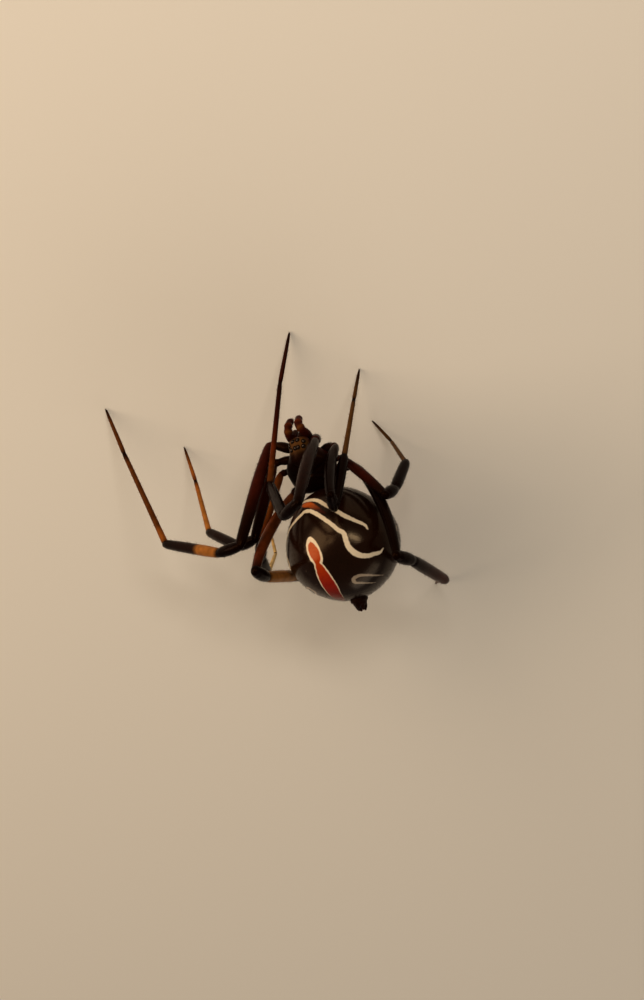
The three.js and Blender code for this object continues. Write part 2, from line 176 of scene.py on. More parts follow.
def unit(vectors):
    vectors = np.asarray(vectors, float)
    return vectors / np.maximum(1e-9, np.linalg.norm(vectors, axis=-1, keepdims=True))


print("the waist is near", np.round(on_head_end(-1.6, 0, -0.6), 2), "mm")

# %% [markdown]
# ## A globe with poles fore and aft
# The abdomen, the carapace and the sternum are all spheres that a rule pushes into shape. The
# sphere's own rings and spokes give a simple unwrap, which the bristles' map uses as well.


# %% Globe
def shaped_globe(name, shape, around, lengthwise):
    """A closed sphere with its poles along Y, moved by shape(unit points) -> places in mm."""
    rows = np.pi * np.arange(1, lengthwise) / lengthwise
    turn = 2 * np.pi * np.arange(around) / around
    flat, ring = np.meshgrid(rows, turn, indexing="ij")
    sphere = np.stack([np.sin(flat) * np.sin(ring), -np.cos(flat), -np.sin(flat) * np.cos(ring)], -1)
    units = np.concatenate([[[0, -1, 0]], sphere.reshape(-1, 3), [[0, 1, 0]]])
    last = len(units) - 1
    faces, maps = [], []
    for row in range(lengthwise):
        for spoke in range(around):
            after = (spoke + 1) % around
            near, far = 1 + (row - 1) * around, 1 + row * around
            left, right = spoke / around, (spoke + 1) / around
            low, high = row / lengthwise, (row + 1) / lengthwise
            if row == 0:
                faces.append((0, far + after, far + spoke))
                maps += [(left, low), (right, high), (left, high)]
            elif row == lengthwise - 1:
                faces.append((near + spoke, near + after, last))
                maps += [(left, low), (right, low), (left, high)]
            else:
                faces.append((near + spoke, near + after, far + after, far + spoke))
                maps += [(left, low), (right, low), (right, high), (left, high)]
    mesh = new_mesh(name, shape(units), faces=faces)
    unwrap = mesh.uv_layers.new(name="UVMap")
    unwrap.data.foreach_set("uv", np.array(maps, np.float32).ravel())
    face_outwards(mesh)
    return mesh, units


# %% [markdown]
# ## Limbs as tubes along paths
# Legs and palps are rows of hard tubes joined by soft skin. Each tube follows a path whose
# points carry a radius, so Geometry Nodes can sweep a circle along all the paths of a limb at
# once. Points on the path hand their colour and their other numbers on to the tube.


# %% Tree that sweeps tubes along paths
def new_tree(name, inputs):
    tree = bpy.data.node_groups.new(name, "GeometryNodeTree")
    sockets = tree.interface
    sockets.new_socket("Geometry", in_out="INPUT", socket_type="NodeSocketGeometry")
    for title, kind in inputs.items():
        sockets.new_socket(title, in_out="INPUT", socket_type=f"NodeSocket{kind}")
    sockets.new_socket("Geometry", in_out="OUTPUT", socket_type="NodeSocketGeometry")
    return tree, tree.nodes.new("NodeGroupInput").outputs


def run_tree(tree, mesh, name, **inputs):
    """Runs a tree on a mesh and returns the result as a plain mesh."""
    maker = new_object(name, mesh)
    modifier = maker.modifiers.new(name, "NODES")
    modifier.node_group = tree
    for item in tree.interface.items_tree:
        if item.in_out == "INPUT" and item.name in inputs:
            modifier[item.identifier] = inputs[item.name]
    evaluated = bpy.context.evaluated_depsgraph_get()
    made = bpy.data.meshes.new_from_object(
        maker.evaluated_get(evaluated), preserve_all_data_layers=True, depsgraph=evaluated
    )
    maker.modifiers.remove(modifier)
    bpy.data.objects.remove(maker)
    made.name = name
    return made


CLOSING_DISTANCE_M = 1e-7

tube_tree, given = new_tree("tubes along paths", {"Sides": "Int", "Finish": "Material"})
node = partial(add_node, tube_tree)
circle = node("GeometryNodeCurvePrimitiveCircle", {"Resolution": given["Sides"], "Radius": 1.0})
index = node("GeometryNodeInputIndex")
around = node("ShaderNodeMath", {0: index, 1: given["Sides"]}, operation="DIVIDE")
ring = node(
    "GeometryNodeStoreNamedAttribute",
    {"Geometry": circle, "Name": "around", "Value": around},
    data_type="FLOAT",
    domain="POINT",
)
radius = node("GeometryNodeInputNamedAttribute", {"Name": "radius_m"}, data_type="FLOAT")
paths = node("GeometryNodeMeshToCurve", {"Mesh": given["Geometry"]})
swept = node("GeometryNodeCurveToMesh", {"Curve": paths, "Profile Curve": ring, "Scale": radius})
closed = node("GeometryNodeMergeByDistance", {"Geometry": swept, "Distance": CLOSING_DISTANCE_M})
smooth = node("GeometryNodeSetShadeSmooth", {"Geometry": closed})
solid = node("GeometryNodeRealizeInstances", {"Geometry": smooth})
finished = node("GeometryNodeSetMaterial", {"Geometry": solid, "Material": given["Finish"]})
node("NodeGroupOutput", {"Geometry": finished})
print("nodes in the tube tree:", len(tube_tree.nodes))

# %% [markdown]
# ## Bristles
# A widow looks bare, but all of it carries short dark bristles that lean towards the rear of the
# body or the tip of the limb. They could be modelled one by one or as hair particles, but only a
# real mesh survives the export. So points are scattered over the skin, each gets a thin bent
# spike of a few faces, leaned from the stored lie of the coat, and all are made one mesh.

# %% Tree that grows bristles
MAP_PATCH = 0.003
ROOT_SUNK = 0.12
LEAST_SIZE, GREATEST_SIZE = 0.6, 1.25
LEAST_LIFT, GREATEST_LIFT = 0.6, 1.5
STRAYING = 0.22
SIZE_SEED, STRAY_SEED = 3, 7

bristle_tree, given = new_tree(
    "bristles over a skin",
    {
        "Density": "Float",
        "Length": "Float",
        "Root Radius": "Float",
        "Lift": "Float",
        "Bend": "Float",
        "Seed": "Int",
        "Finish": "Material",
    },
)
node = partial(add_node, bristle_tree)

stored = {
    name: node("GeometryNodeInputNamedAttribute", {"Name": name}, data_type=kind)
    for name, kind in (
        ("hairy", "FLOAT"),
        ("lie", "FLOAT_VECTOR"),
        ("UVMap", "FLOAT_VECTOR"),
        ("spike_map", "FLOAT_VECTOR"),
    )
}

# %% Where the roots are
density = node("ShaderNodeMath", {0: given["Density"], 1: stored["hairy"]}, operation="MULTIPLY")
roots = node(
    "GeometryNodeDistributePointsOnFaces",
    {"Mesh": given["Geometry"], "Density": density, "Seed": given["Seed"]},
    distribute_method="RANDOM",
)

# %% Which way each spike points: along the lie, lifted off the skin and a little astray
lift = node(
    "FunctionNodeRandomValue", {2: LEAST_LIFT, 3: GREATEST_LIFT, "Seed": given["Seed"]}, data_type="FLOAT"
)
angle = node("ShaderNodeMath", {0: lift.outputs[1], 1: given["Lift"]}, operation="MULTIPLY")
rise = node("ShaderNodeMath", {0: angle}, operation="TANGENT")
outwards = node("ShaderNodeVectorMath", {0: roots.outputs["Normal"], "Scale": rise}, operation="SCALE")
leaning = node("ShaderNodeVectorMath", {0: stored["lie"], 1: outwards}, operation="ADD")
stray = node(
    "FunctionNodeRandomValue",
    {0: (-STRAYING,) * 3, 1: (STRAYING,) * 3, "Seed": STRAY_SEED},
    data_type="FLOAT_VECTOR",
)
heading = node("ShaderNodeVectorMath", {0: leaning, 1: stray}, operation="ADD")
pointed = node("FunctionNodeAlignRotationToVector", {"Vector": heading}, axis="Z")
rolled = node(
    "FunctionNodeAlignRotationToVector",
    {"Rotation": pointed, "Vector": roots.outputs["Normal"]},
    axis="X",
    pivot_axis="Z",
)

# %% One spike of three sides, bent on its way, with its root sunk in
spike = node(
    "GeometryNodeMeshCone",
    {
        "Vertices": 3,
        "Side Segments": 2,
        "Radius Top": 0.0,
        "Radius Bottom": given["Root Radius"],
        "Depth": given["Length"],
    },
    fill_type="NGON",
)
spike_map = node(
    "GeometryNodeStoreNamedAttribute",
    {"Geometry": spike, "Name": "spike_map", "Value": spike.outputs["UV Map"]},
    data_type="FLOAT2",
    domain="CORNER",
)
place = node("GeometryNodeInputPosition")
parts = node("ShaderNodeSeparateXYZ", {0: place})
share = node("ShaderNodeMath", {0: parts.outputs["Z"], 1: given["Length"]}, operation="DIVIDE")
squared = node("ShaderNodeMath", {0: share, 1: parts.outputs["Z"]}, operation="MULTIPLY")
bow = node("ShaderNodeMath", {0: squared, 1: given["Bend"]}, operation="MULTIPLY")
down = node("ShaderNodeMath", {0: given["Length"], 1: -ROOT_SUNK}, operation="MULTIPLY")
shift = node("ShaderNodeCombineXYZ", {"X": bow, "Z": down})
bent = node("GeometryNodeSetPosition", {"Geometry": spike_map, "Offset": shift})

# %% A spike of its own size on every root
size = node(
    "FunctionNodeRandomValue", {2: LEAST_SIZE, 3: GREATEST_SIZE, "Seed": SIZE_SEED}, data_type="FLOAT"
)
planted = node(
    "GeometryNodeInstanceOnPoints",
    {"Points": roots, "Instance": bent, "Rotation": rolled, "Scale": size.outputs[1]},
)
real = node("GeometryNodeRealizeInstances", {"Geometry": planted})

# %% The map: each spike has a small patch at the place of its root
patch = node("ShaderNodeVectorMath", {0: stored["spike_map"], "Scale": MAP_PATCH}, operation="SCALE")
bake_place = node("ShaderNodeVectorMath", {0: stored["UVMap"], 1: patch}, operation="ADD")
latest = node(
    "GeometryNodeStoreNamedAttribute",
    {"Geometry": real, "Name": "OFBake", "Value": bake_place},
    data_type="FLOAT2",
    domain="CORNER",
)
for spent in stored:
    latest = node("GeometryNodeRemoveAttribute", {"Geometry": latest, "Name": spent})
coated = node("GeometryNodeSetMaterial", {"Geometry": latest, "Material": given["Finish"]})
node("NodeGroupOutput", {"Geometry": coated})
print("nodes in the bristle tree:", len(bristle_tree.nodes))


# %% Coats
BEND = 0.35
# bristles to the square millimetre, length and root radius in mm, lift in degrees
COATS = {
    "abdomen": (48, 0.13, 0.004, 20),
    "spinnerets": (110, 0.12, 0.004, 26),
    "carapace": (44, 0.12, 0.004, 26),
    "sternum": (44, 0.13, 0.004, 30),
    "mouth": (90, 0.1, 0.0036, 28),
    "jaw": (70, 0.11, 0.0036, 30),
    "palp": (90, 0.13, 0.0038, 28),
    "leg": (70, 0.15, 0.0042, 24),
}


def place_with_coat(skin, stands_for, finish, coat, seed):
    """Places a skin, and the bristles on it as a piece of their own, in the same finish."""
    place_piece(skin, stands_for, finish)
    per_mm2, length, root_radius, lift = COATS[coat]
    settings = {
        "Density": per_mm2 / MM**2,
        "Length": length * MM,
        "Root Radius": root_radius * MM,
        "Lift": math.radians(lift),
        "Bend": BEND,
        "Seed": seed,
        "Finish": finish,
    }
    place_piece(run_tree(bristle_tree, skin.copy(), f"{skin.name}_bristles", **settings))


def comb(mesh, units, turn, towards, hairy):
    """Stores on a globe which way its coat lies, and how dense it is at each point."""
    direction, normals = turn @ towards, unit(units @ turn.T)
    lie = unit(direction - normals * (normals @ direction)[:, None])
    write_attribute(mesh, "lie", lie, "FLOAT_VECTOR")
    write_attribute(mesh, "hairy", hairy)


print("coats:", ", ".join(COATS))

# %% [markdown]
# ## Horny cuticle
# A spider's skin is sclerotised chitin: a hard clear varnish over a pigmented layer. Where it is
# thick it is nearly black, where it is thin it is reddish brown or amber. Its gloss is narrow and
# brownish, because it is moulded in fine scales and set with hairs. So the colour comes from the
# vertices, a noise mottles it, a very low bump breaks the gloss and the reflection is held back.
# The real scales are about a hundredth of a millimetre wide, too fine to show, so the bump draws
# them four to six times as coarse.

# %% Cuticle material
CHITIN_IOR = 1.55
BROWN_GLOSS = "#b87c4a"
MOTTLE_MM = 0.35
DARKEST_SHARE, LIGHTEST_SHARE = 0.72, 1.12


def new_material(name, **settings):
    material = bpy.data.materials.new(name)
    material.use_nodes = True
    tree = material.node_tree
    shader = tree.nodes["Principled BSDF"]
    shader.inputs["IOR"].default_value = CHITIN_IOR
    shader.inputs["Specular Tint"].default_value = linear(BROWN_GLOSS)
    for socket, value in settings.items():
        shader.inputs[socket.replace("_", " ")].default_value = value
    where = add_node(tree, "ShaderNodeTexCoord").outputs["Object"]
    return material, tree, shader, where


def grains(where, size_mm, detail):
    """Inputs of a noise whose grains have the given size."""
    return {"Vector": where, "Scale": 1 / (size_mm * MM), "Detail": detail}


def uneven_surface(tree, shader, where, grain_mm, depth_mm):
    """A fine bump: grains of the given size and depth."""
    noise = add_node(tree, "ShaderNodeTexNoise", grains(where, grain_mm, 3.0))
    bump = add_node(tree, "ShaderNodeBump", {"Height": noise, "Distance": depth_mm * MM, "Strength": 1.0})
    tree.links.new(bump.outputs[0], shader.inputs["Normal"])


def cuticle(name, roughness, shine, grain_mm=0.06, depth_mm=0.003):
    """Cuticle whose colour is the vertices' own, mottled by a noise."""
    material, tree, shader, where = new_material(name, Roughness=roughness, Specular_IOR_Level=shine)
    colour = add_node(tree, "ShaderNodeAttribute", attribute_name="cuticle")
    mottle = add_node(tree, "ShaderNodeTexNoise", grains(where, MOTTLE_MM, 4.0))
    shares = {"Value": mottle, 1: 0.3, 2: 0.7, 3: DARKEST_SHARE, 4: LIGHTEST_SHARE}
    darker = add_node(tree, "ShaderNodeMapRange", shares)
    mottled = add_node(tree, "ShaderNodeVectorMath", {0: colour, "Scale": darker}, operation="SCALE")
    tree.links.new(mottled.outputs[0], shader.inputs["Base Color"])
    uneven_surface(tree, shader, where, grain_mm, depth_mm)
    return material


limb_cuticle = cuticle("sclerotised chitin of the limbs", 0.24, 0.08, depth_mm=0.0015)
carapace_cuticle = cuticle("sclerotised chitin of the carapace", 0.32, 0.14, grain_mm=0.05, depth_mm=0.004)
soft_cuticle = cuticle("soft jointed cuticle", 0.45, 0.12, grain_mm=0.04, depth_mm=0.006)
print("cuticles:", limb_cuticle.name, "|", carapace_cuticle.name, "|", soft_cuticle.name)

# %% [markdown]
# ## The abdomen's marks
# The cream lines and the red mark are pigment under the clear cuticle. Each is drawn as a stroke
# of a brush on the globe: a few control points with a half-width, joined by a smooth curve. A
# point is given as degrees over the back (0 at the front, 90 on top, 180 at the rear, 270 below)
# and degrees off the midline towards the left. Every vertex of the skin stores its distance to
# the nearest stroke, and the material turns that into a crisp edge.

# %% Strokes: degrees over the back, degrees to the left, half-width in mm
CREAM_STROKES = [
    # the front band, from the left side over the front to the right side
    [(48, 66, 0.06), (36, 60, 0.1), (24, 52, 0.12), (17, 42, 0.13), (14, 30, 0.13), (16, 17, 0.12),
     (21, 4, 0.12), (26, -7, 0.12), (34, -17, 0.12), (42, -28, 0.12), (50, -38, 0.13),
     (56, -47, 0.11), (64, -56, 0.09), (72, -58, 0.05)],
    # the first side bands, which meet on the front of the back
    [(38, 1, 0.11), (36, 9, 0.12), (38, 15, 0.12), (40, 26, 0.12), (41, 39, 0.12), (46, 50, 0.12),
     (56, 57, 0.12), (68, 58, 0.12), (78, 54, 0.13), (87, 51, 0.15), (96, 56, 0.12), (104, 64, 0.06)],
    [(38, 1, 0.11), (43, -6, 0.12), (49, -13, 0.12), (60, -24, 0.12), (66, -28, 0.12), (71, -33, 0.13),
     (79, -33, 0.15), (87, -33, 0.16), (95, -35, 0.17), (103, -39, 0.16), (110, -45, 0.14),
     (116, -52, 0.12), (123, -58, 0.09), (124, -63, 0.04)],
    # the light rim of the red mark
    [(66, 3, 0.02), (70, 3.5, 0.25), (76, 3, 0.42), (84, 2, 0.46), (88, 1.5, 0.4), (93, 2.5, 0.26),
     (100, 2.5, 0.38), (110, 3.5, 0.48), (121, 5, 0.5), (134, 8, 0.42), (143, 10, 0.34), (151, 11, 0.14)],
]
GREY_STROKES = [
    # the rear side marks, like a hairpin open to the rear
    [(157, -40, 0.03), (143, -37, 0.07), (133, -33, 0.09), (126, -28, 0.12), (124, -23, 0.15),
     (125, -20, 0.14), (130, -19, 0.12), (136, -23, 0.09), (144, -27, 0.07), (153, -30, 0.03)],
    [(157, 52, 0.03), (143, 49, 0.07), (133, 45, 0.09), (127, 40, 0.12), (125, 35, 0.14),
     (130, 31, 0.12), (137, 34, 0.09), (145, 38, 0.07), (153, 41, 0.03)],
    # a drop low on each side
    [(262, -75, 0.05), (240, -78, 0.1), (218, -80, 0.15), (204, -80, 0.13), (196, -78, 0.06)],
    [(262, 77, 0.05), (240, 80, 0.1), (218, 82, 0.15), (204, 82, 0.13), (196, 80, 0.06)],
]
RED_STROKES = [
    [(71, 3.5, 0.03), (76, 3.5, 0.22), (82, 2, 0.29), (87, 1.5, 0.24), (92.5, 2.5, 0.13),
     (99, 2.5, 0.24), (110, 3.5, 0.35), (121, 5, 0.38), (134, 8, 0.34), (143, 10, 0.3), (152, 11, 0.16)],
    # the hourglass below
    [(222, 4, 0.3), (232, 4, 0.46), (243, 4, 0.34), (252, 4, 0.12), (259, 4, 0.12),
     (268, 4, 0.4), (277, 4, 0.5), (284, 4, 0.3)],
]
EMBER_STROKES = [
    [(23, 14, 0.1), (26, 9, 0.16), (29, 3, 0.16), (33, -2, 0.14), (37, -7, 0.12), (41, -12, 0.09),
     (45, -17, 0.04)],
]
print("strokes:", len(CREAM_STROKES), "cream,", len(GREY_STROKES), "grey,", len(RED_STROKES), "red")

# %% Distance from the strokes
STROKE_STEP = 0.04
FAR_MM = 9.0
CREAM_BREADTH = 0.88
GREY_BREADTH = 0.72


def abdomen_units(over, aside):
    over, aside = np.radians(over), np.radians(aside)
    return np.stack([np.sin(aside), -np.cos(aside) * np.cos(over), np.cos(aside) * np.sin(over)], -1)


def smooth_curve(controls, step):
    """Points on a curve that passes through all controls, about `step` mm apart on the globe."""
    controls = np.asarray(controls, float)
    ends = np.vstack([2 * controls[0] - controls[1], controls, 2 * controls[-1] - controls[-2]])
    pieces = []
    for before, start, end, after in zip(ends, ends[1:], ends[2:], ends[3:]):
        span = np.linalg.norm(end[:3] - start[:3]) * ABDOMEN["length"] / 2
        t = np.linspace(0, 1, max(2, round(span / step)), endpoint=False)[:, None]
        pieces.append(
            0.5 * (2 * start + (end - before) * t + (2 * before - 5 * start + 4 * end - after) * t**2
                   + (3 * start - before - 3 * end + after) * t**3)
        )
    return np.vstack([*pieces, controls[-1:]])


def abdomen_surface(units):
    """The abdomen's globe in its own frame, in mm."""
    waist = 1 - ABDOMEN["narrowing"] * np.maximum(0, -units[:, 1])
    half = np.stack([ABDOMEN["width"] / 2 * waist, np.full_like(waist, ABDOMEN["length"] / 2),
                     ABDOMEN["height"] / 2 * waist], -1)
    rear = abdomen_units(180 - SPINNERETS_ABOVE, 0)
    away = np.degrees(np.arccos(np.clip(units @ rear, -1, 1)))
    swell = REAR_SWELLING["height"] * np.exp(-((away / REAR_SWELLING["spread"]) ** 2))
    return half * units + units * swell[:, None]


def distance_to_strokes(places, strokes, breadth=1):
    """Signed distance in mm from each place to the nearest stroke: negative inside one."""
    nearest = np.full(len(places), FAR_MM)
    for stroke in strokes:
        over, aside, half_width = np.array(stroke, float).T
        curve = smooth_curve(np.column_stack([abdomen_units(over, aside), half_width]), STROKE_STEP)
        for centre, width in zip(abdomen_surface(unit(curve[:, :3])), curve[:, 3]):
            nearest = np.minimum(nearest, np.linalg.norm(places - centre, axis=1) - max(0.0, width) * breadth)
    return nearest


front_point = abdomen_surface(abdomen_units(38, 1)[None])
print("where the cream lines meet:", distance_to_strokes(front_point, CREAM_STROKES).round(3), "mm")

# %% [markdown]
# ## The abdomen's skin
# The globe of the abdomen is one taut sac. What breaks its curve is small: two pairs of dimples
# on the back, where muscles pull, fine folds round the spinnerets, and below a cross furrow with
# the smooth lids of the book lungs. All are added to the globe as soft dents.

# %% Abdomen skin
DIMPLES = [(74, 17), (74, -17), (101, 21), (101, -21)]
DIMPLE = {"depth": 0.012, "radius": 0.16}
FURROW = {"over": 312, "depth": 0.04, "width": 0.12, "half_span": 38, "arch": 0.002}
LUNG_LIDS = [(326, 26), (326, -26)]
LUNG_LID = {"height": 0.015, "radius": 0.7}
REAR_FOLDS = {"depth": 0.008, "pitch": 5.5, "from": 11, "to": 27}
BALD_POLE = 0.04


def skin_of_abdomen(units):
    places = abdomen_surface(units) - units * SKIN_DEPTH
    bulge = np.zeros(len(units))
    for over, aside in DIMPLES:
        away = np.linalg.norm(places - abdomen_surface(abdomen_units(over, aside)[None]), axis=1)
        bulge -= DIMPLE["depth"] * np.exp(-((away / DIMPLE["radius"]) ** 2))
    for over, aside in LUNG_LIDS:
        away = np.linalg.norm(places - abdomen_surface(abdomen_units(over, aside)[None]), axis=1)
        bulge += LUNG_LID["height"] * np.exp(-((away / LUNG_LID["radius"]) ** 4)) - LUNG_LID["height"]
    over = np.degrees(np.arctan2(units[:, 2], -units[:, 1])) % 360
    aside = np.degrees(np.arcsin(np.clip(units[:, 0], -1, 1)))
    across = np.clip(1 - (aside / FURROW["half_span"]) ** 2, 0, 1)
    off_furrow = np.radians(over - FURROW["over"] + FURROW["arch"] * aside**2) * ABDOMEN["length"] / 2
    bulge -= FURROW["depth"] * across * np.exp(-((off_furrow / FURROW["width"]) ** 2))
    rear = abdomen_units(180 - SPINNERETS_ABOVE, 0)
    away = np.degrees(np.arccos(np.clip(units @ rear, -1, 1)))
    near = np.clip((REAR_FOLDS["to"] - away) / (REAR_FOLDS["to"] - REAR_FOLDS["from"]), 0, 1)
    bulge -= REAR_FOLDS["depth"] * near * (1 + np.cos(2 * np.pi * away / REAR_FOLDS["pitch"])) / 2
    return on_abdomen(places + units * bulge[:, None])


abdomen_mesh, abdomen_globe = shaped_globe("abdomen_skin", skin_of_abdomen, around=300, lengthwise=160)
flat_places = abdomen_surface(abdomen_globe)
write_attribute(abdomen_mesh, "cream_mm", distance_to_strokes(flat_places, CREAM_STROKES, CREAM_BREADTH))
write_attribute(abdomen_mesh, "grey_mm", distance_to_strokes(flat_places, GREY_STROKES, GREY_BREADTH))
write_attribute(abdomen_mesh, "red_mm", distance_to_strokes(flat_places, RED_STROKES))
write_attribute(abdomen_mesh, "ember_mm", distance_to_strokes(flat_places, EMBER_STROKES))
over_back = np.degrees(np.arctan2(abdomen_globe[:, 2], -abdomen_globe[:, 1])) % 360
write_attribute(abdomen_mesh, "over_back", over_back / 360)
from_poles = 1 - np.abs(abdomen_globe[:, 1])
comb(abdomen_mesh, abdomen_globe, ABDOMEN_TURN, [0, 1, 0], np.clip(from_poles / BALD_POLE, 0, 1))
print("inside the cream lines:", f"{np.mean(read_attribute(abdomen_mesh, 'cream_mm') < 0):.1%} of the points")

# %% [markdown]
# ## Glossy black with marks
# The globe is the shiniest part of the animal: nearly black, with a brown tinge where the light
# goes in a little. The marks lie under the same gloss. Their edges waver slightly, because the
# pigment is laid down in grains, so a small noise is added to the stored distance. The grains
# are far finer in life, and are drawn coarse enough to show. The red is orange at the front of
# the mark and deep red at its rear.

# %% Abdomen material
PIGMENT_GRAIN_MM, TINGE_MM = 0.16, 1.6
abdomen_cuticle, tree, shader, where = new_material(
    "glossy sclerotised chitin of the abdomen",
    Roughness=0.2,
    Specular_IOR_Level=0.3,
    Specular_Tint=linear("#dcc4a0"),
)


node = partial(add_node, tree)
grain = node("ShaderNodeTexNoise", grains(where, PIGMENT_GRAIN_MM, 3.0))
waver = node("ShaderNodeMath", {0: grain, 1: -0.5}, operation="ADD")
tinge = node("ShaderNodeTexNoise", grains(where, TINGE_MM, 2.0))
way_over = node("ShaderNodeAttribute", attribute_name="over_back").outputs["Fac"]


def inside(name, edge_mm, waver_mm):
    """1 inside the strokes of that name and 0 outside, with a soft wavering edge."""
    stored = node("ShaderNodeAttribute", attribute_name=name).outputs["Fac"]
    distance = node("ShaderNodeMath", {0: waver, 1: waver_mm, 2: stored}, operation="MULTIPLY_ADD")
    edge = {"Value": distance, 1: -edge_mm, 2: edge_mm, 3: 1.0, 4: 0.0}
    return node("ShaderNodeMapRange", edge, interpolation_type="SMOOTHSTEP")


def layered(colour, *layers):
    """Lays colours over a first one: each layer is a share, or two degrees over the back, and a colour."""
    for share, laid in layers:
        if isinstance(share, tuple):
            first, last = share
            share = node("ShaderNodeMapRange", {"Value": way_over, 1: first / 360, 2: last / 360})
        colour = node("ShaderNodeMix", {0: share, 6: colour, 7: laid}, data_type="RGBA").outputs[2]
    return colour


ground = layered(linear("#120602"), (tinge, linear("#280f05")))
red = layered(
    linear("#a84406"),
    ((80, 118), linear("#8a1a05")),
    ((122, 150), linear("#5a0c05")),
    ((200, 210), linear("#c22408")),
)
ember = layered(linear("#b0561a"), ((28, 40), linear("#3a0c04")))
painted = layered(
    ground,
    (inside("ember_mm", 0.05, 0.06), ember),
    (inside("grey_mm", 0.03, 0.07), linear("#9c8b78")),
    (inside("cream_mm", 0.03, 0.07), linear("#d6c7ae")),
    (inside("red_mm", 0.035, 0.07), red),
)
tree.links.new(painted, shader.inputs["Base Color"])
uneven_surface(tree, shader, where, 0.07, 0.003)

place_with_coat(abdomen_mesh, ["abdomen"], abdomen_cuticle, "abdomen", 11)

# %% [markdown]
# ## Tubes from named profiles
# A limb's tube is thick in its middle and narrows at the joints, where it ends in a rounded
# socket. The helper below turns two ends, a bow and a profile into the points of one path, and
# another joins the paths of a limb, runs the tube tree and unwraps the result in strips.

# %% Path of one tube
RING_SPACING, LEAST_RINGS = 0.075, 7
CAP_ANGLES = np.radians([0, 20, 40, 60, 78])
CAP_LENGTH = 0.75
NECK = {"depth": 0.16, "reach": 0.13}
PROFILE_SOFTENING = 0.06


def profile_at(profile, t):
    """Value of a profile of (t, value) pairs, with its corners softened."""
    at, values = np.array(profile, float).T
    taps = [np.interp(t + shift, at, values) for shift in PROFILE_SOFTENING * np.linspace(-1, 1, 5)]
    return np.mean(taps, axis=0)


def colour_along(stops, t):
    """Linear colour of a list of (t, name) stops."""
    at = [stop for stop, _ in stops]
    colours = np.array([linear(PAINT[name]) for _, name in stops])
    return np.stack([np.interp(t, at, colours[:, channel]) for channel in range(4)], -1)


def tube_path(start, end, profile, colours, bow=None, necks=1.0, hairy=1.0):
    """Points, radii, colours and more of one tube from `start` to `end`, with rounded ends."""
    start, end = np.asarray(start, float), np.asarray(end, float)
    length = np.linalg.norm(end - start)
    t = np.linspace(0, 1, max(LEAST_RINGS, round(length / RING_SPACING)))
    points = start + (end - start) * t[:, None]
    if bow is not None:
        points = points + np.asarray(bow) * (4 * t * (1 - t))[:, None]
    radii = profile_at(profile, t)
    from_ends = np.stack([t, 1 - t]) * length / NECK["reach"]
    near_end = np.exp(-(from_ends**2)).sum(axis=0)
    radii = radii * (1 - necks * NECK["depth"] * near_end)
    first, last = unit(points[1] - points[0]), unit(points[-1] - points[-2])
    before = [points[0] - first * CAP_LENGTH * radii[0] * math.cos(a) for a in CAP_ANGLES]
    after = [points[-1] + last * CAP_LENGTH * radii[-1] * math.cos(a) for a in CAP_ANGLES[::-1]]
    shrink = np.sin(CAP_ANGLES)
    all_points = np.vstack([before, points, after])
    all_t = np.concatenate([np.zeros(len(before)), t, np.ones(len(after))])
    return {
        "points": all_points,
        "radius": np.concatenate([radii[0] * shrink, radii, radii[-1] * shrink[::-1]]),
        "t": all_t,
        "colour": colour_along(colours, all_t),
        "lie": unit(np.gradient(all_points, axis=0)),
        "hairy": hairy * ((all_t > 0.0) & (all_t < 1.0)),
    }


# %% Mesh of a whole limb
STRIP_FROM, STRIP_WIDTH = 0.05, 0.85
ROWS_FROM, ROWS_HEIGHT = 0.02, 0.96
SEAM_BEFORE, SEAM_AFTER = 0.75, 0.25


def tubes_mesh(name, paths, sides, finish):
    """Sweeps all paths of one limb into a single mesh."""
    counts = [len(path["points"]) for path in paths]
    starts = np.cumsum([0, *counts])
    edges = [(a + i, a + i + 1) for a, count in zip(starts, counts) for i in range(count - 1)]
    joined = {key: np.concatenate([path[key] for path in paths]) for key in paths[0]}
    lines = new_mesh(name, joined["points"], edges=edges)
    write_attribute(lines, "radius_m", joined["radius"] * MM)
    write_attribute(lines, "along", joined["t"])
    write_attribute(lines, "strip", np.repeat(np.arange(len(paths)), counts))
    write_attribute(lines, "hairy", joined["hairy"])
    write_attribute(lines, "lie", joined["lie"], "FLOAT_VECTOR")
    write_attribute(lines, "cuticle", joined["colour"], "FLOAT_COLOR")
    mesh = run_tree(tube_tree, lines, name, Sides=sides, Finish=finish)
    face_outwards(mesh)
    unwrap_strips(mesh, len(paths))
    return mesh


def unwrap_strips(mesh, strips):
    """One upright strip of the map for each tube: round it across, along it upwards."""
    corners = np.empty(len(mesh.loops), np.int32)
    mesh.loops.foreach_get("vertex_index", corners)
    starts = np.empty(len(mesh.polygons), np.int32)
    mesh.polygons.foreach_get("loop_start", starts)
    counts = np.diff(np.append(starts, len(corners)))
    around = read_attribute(mesh, "around")[corners]
    widest = np.repeat(np.maximum.reduceat(around, starts), counts)
    across = np.where((widest > SEAM_BEFORE) & (around < SEAM_AFTER), around + 1, around)
    columns = (read_attribute(mesh, "strip")[corners] + STRIP_FROM + STRIP_WIDTH * across) / strips
    rows = ROWS_FROM + ROWS_HEIGHT * read_attribute(mesh, "along")[corners]
    unwrap = mesh.uv_layers.new(name="UVMap")
    unwrap.data.foreach_set("uv", np.column_stack([columns, rows]).astype(np.float32).ravel())


# %% [markdown]
# ## Colours of the limbs and the head end
# The living animal's cuticle runs from pitch black at the knees to tan on the thin feet. The
# names below are used as stops along each tube and in the carapace.

# %% Named colours
# Some of these names are also used to paint the light and shade that fall on the legs and the face.
PAINT = {
    "pitch": "#100402",
    "dark": "#1f0b05",
    "wine": "#391108",
    "rust": "#57240c",
    "chestnut": "#6e3612",
    "bark": "#5a3212",
    "amber": "#8f5420",
    "honey": "#96622c",
    "tan": "#b58e56",
    "straw": "#cdb07a",
    "olive": "#54381a",
}
print("named colours:", ", ".join(PAINT))

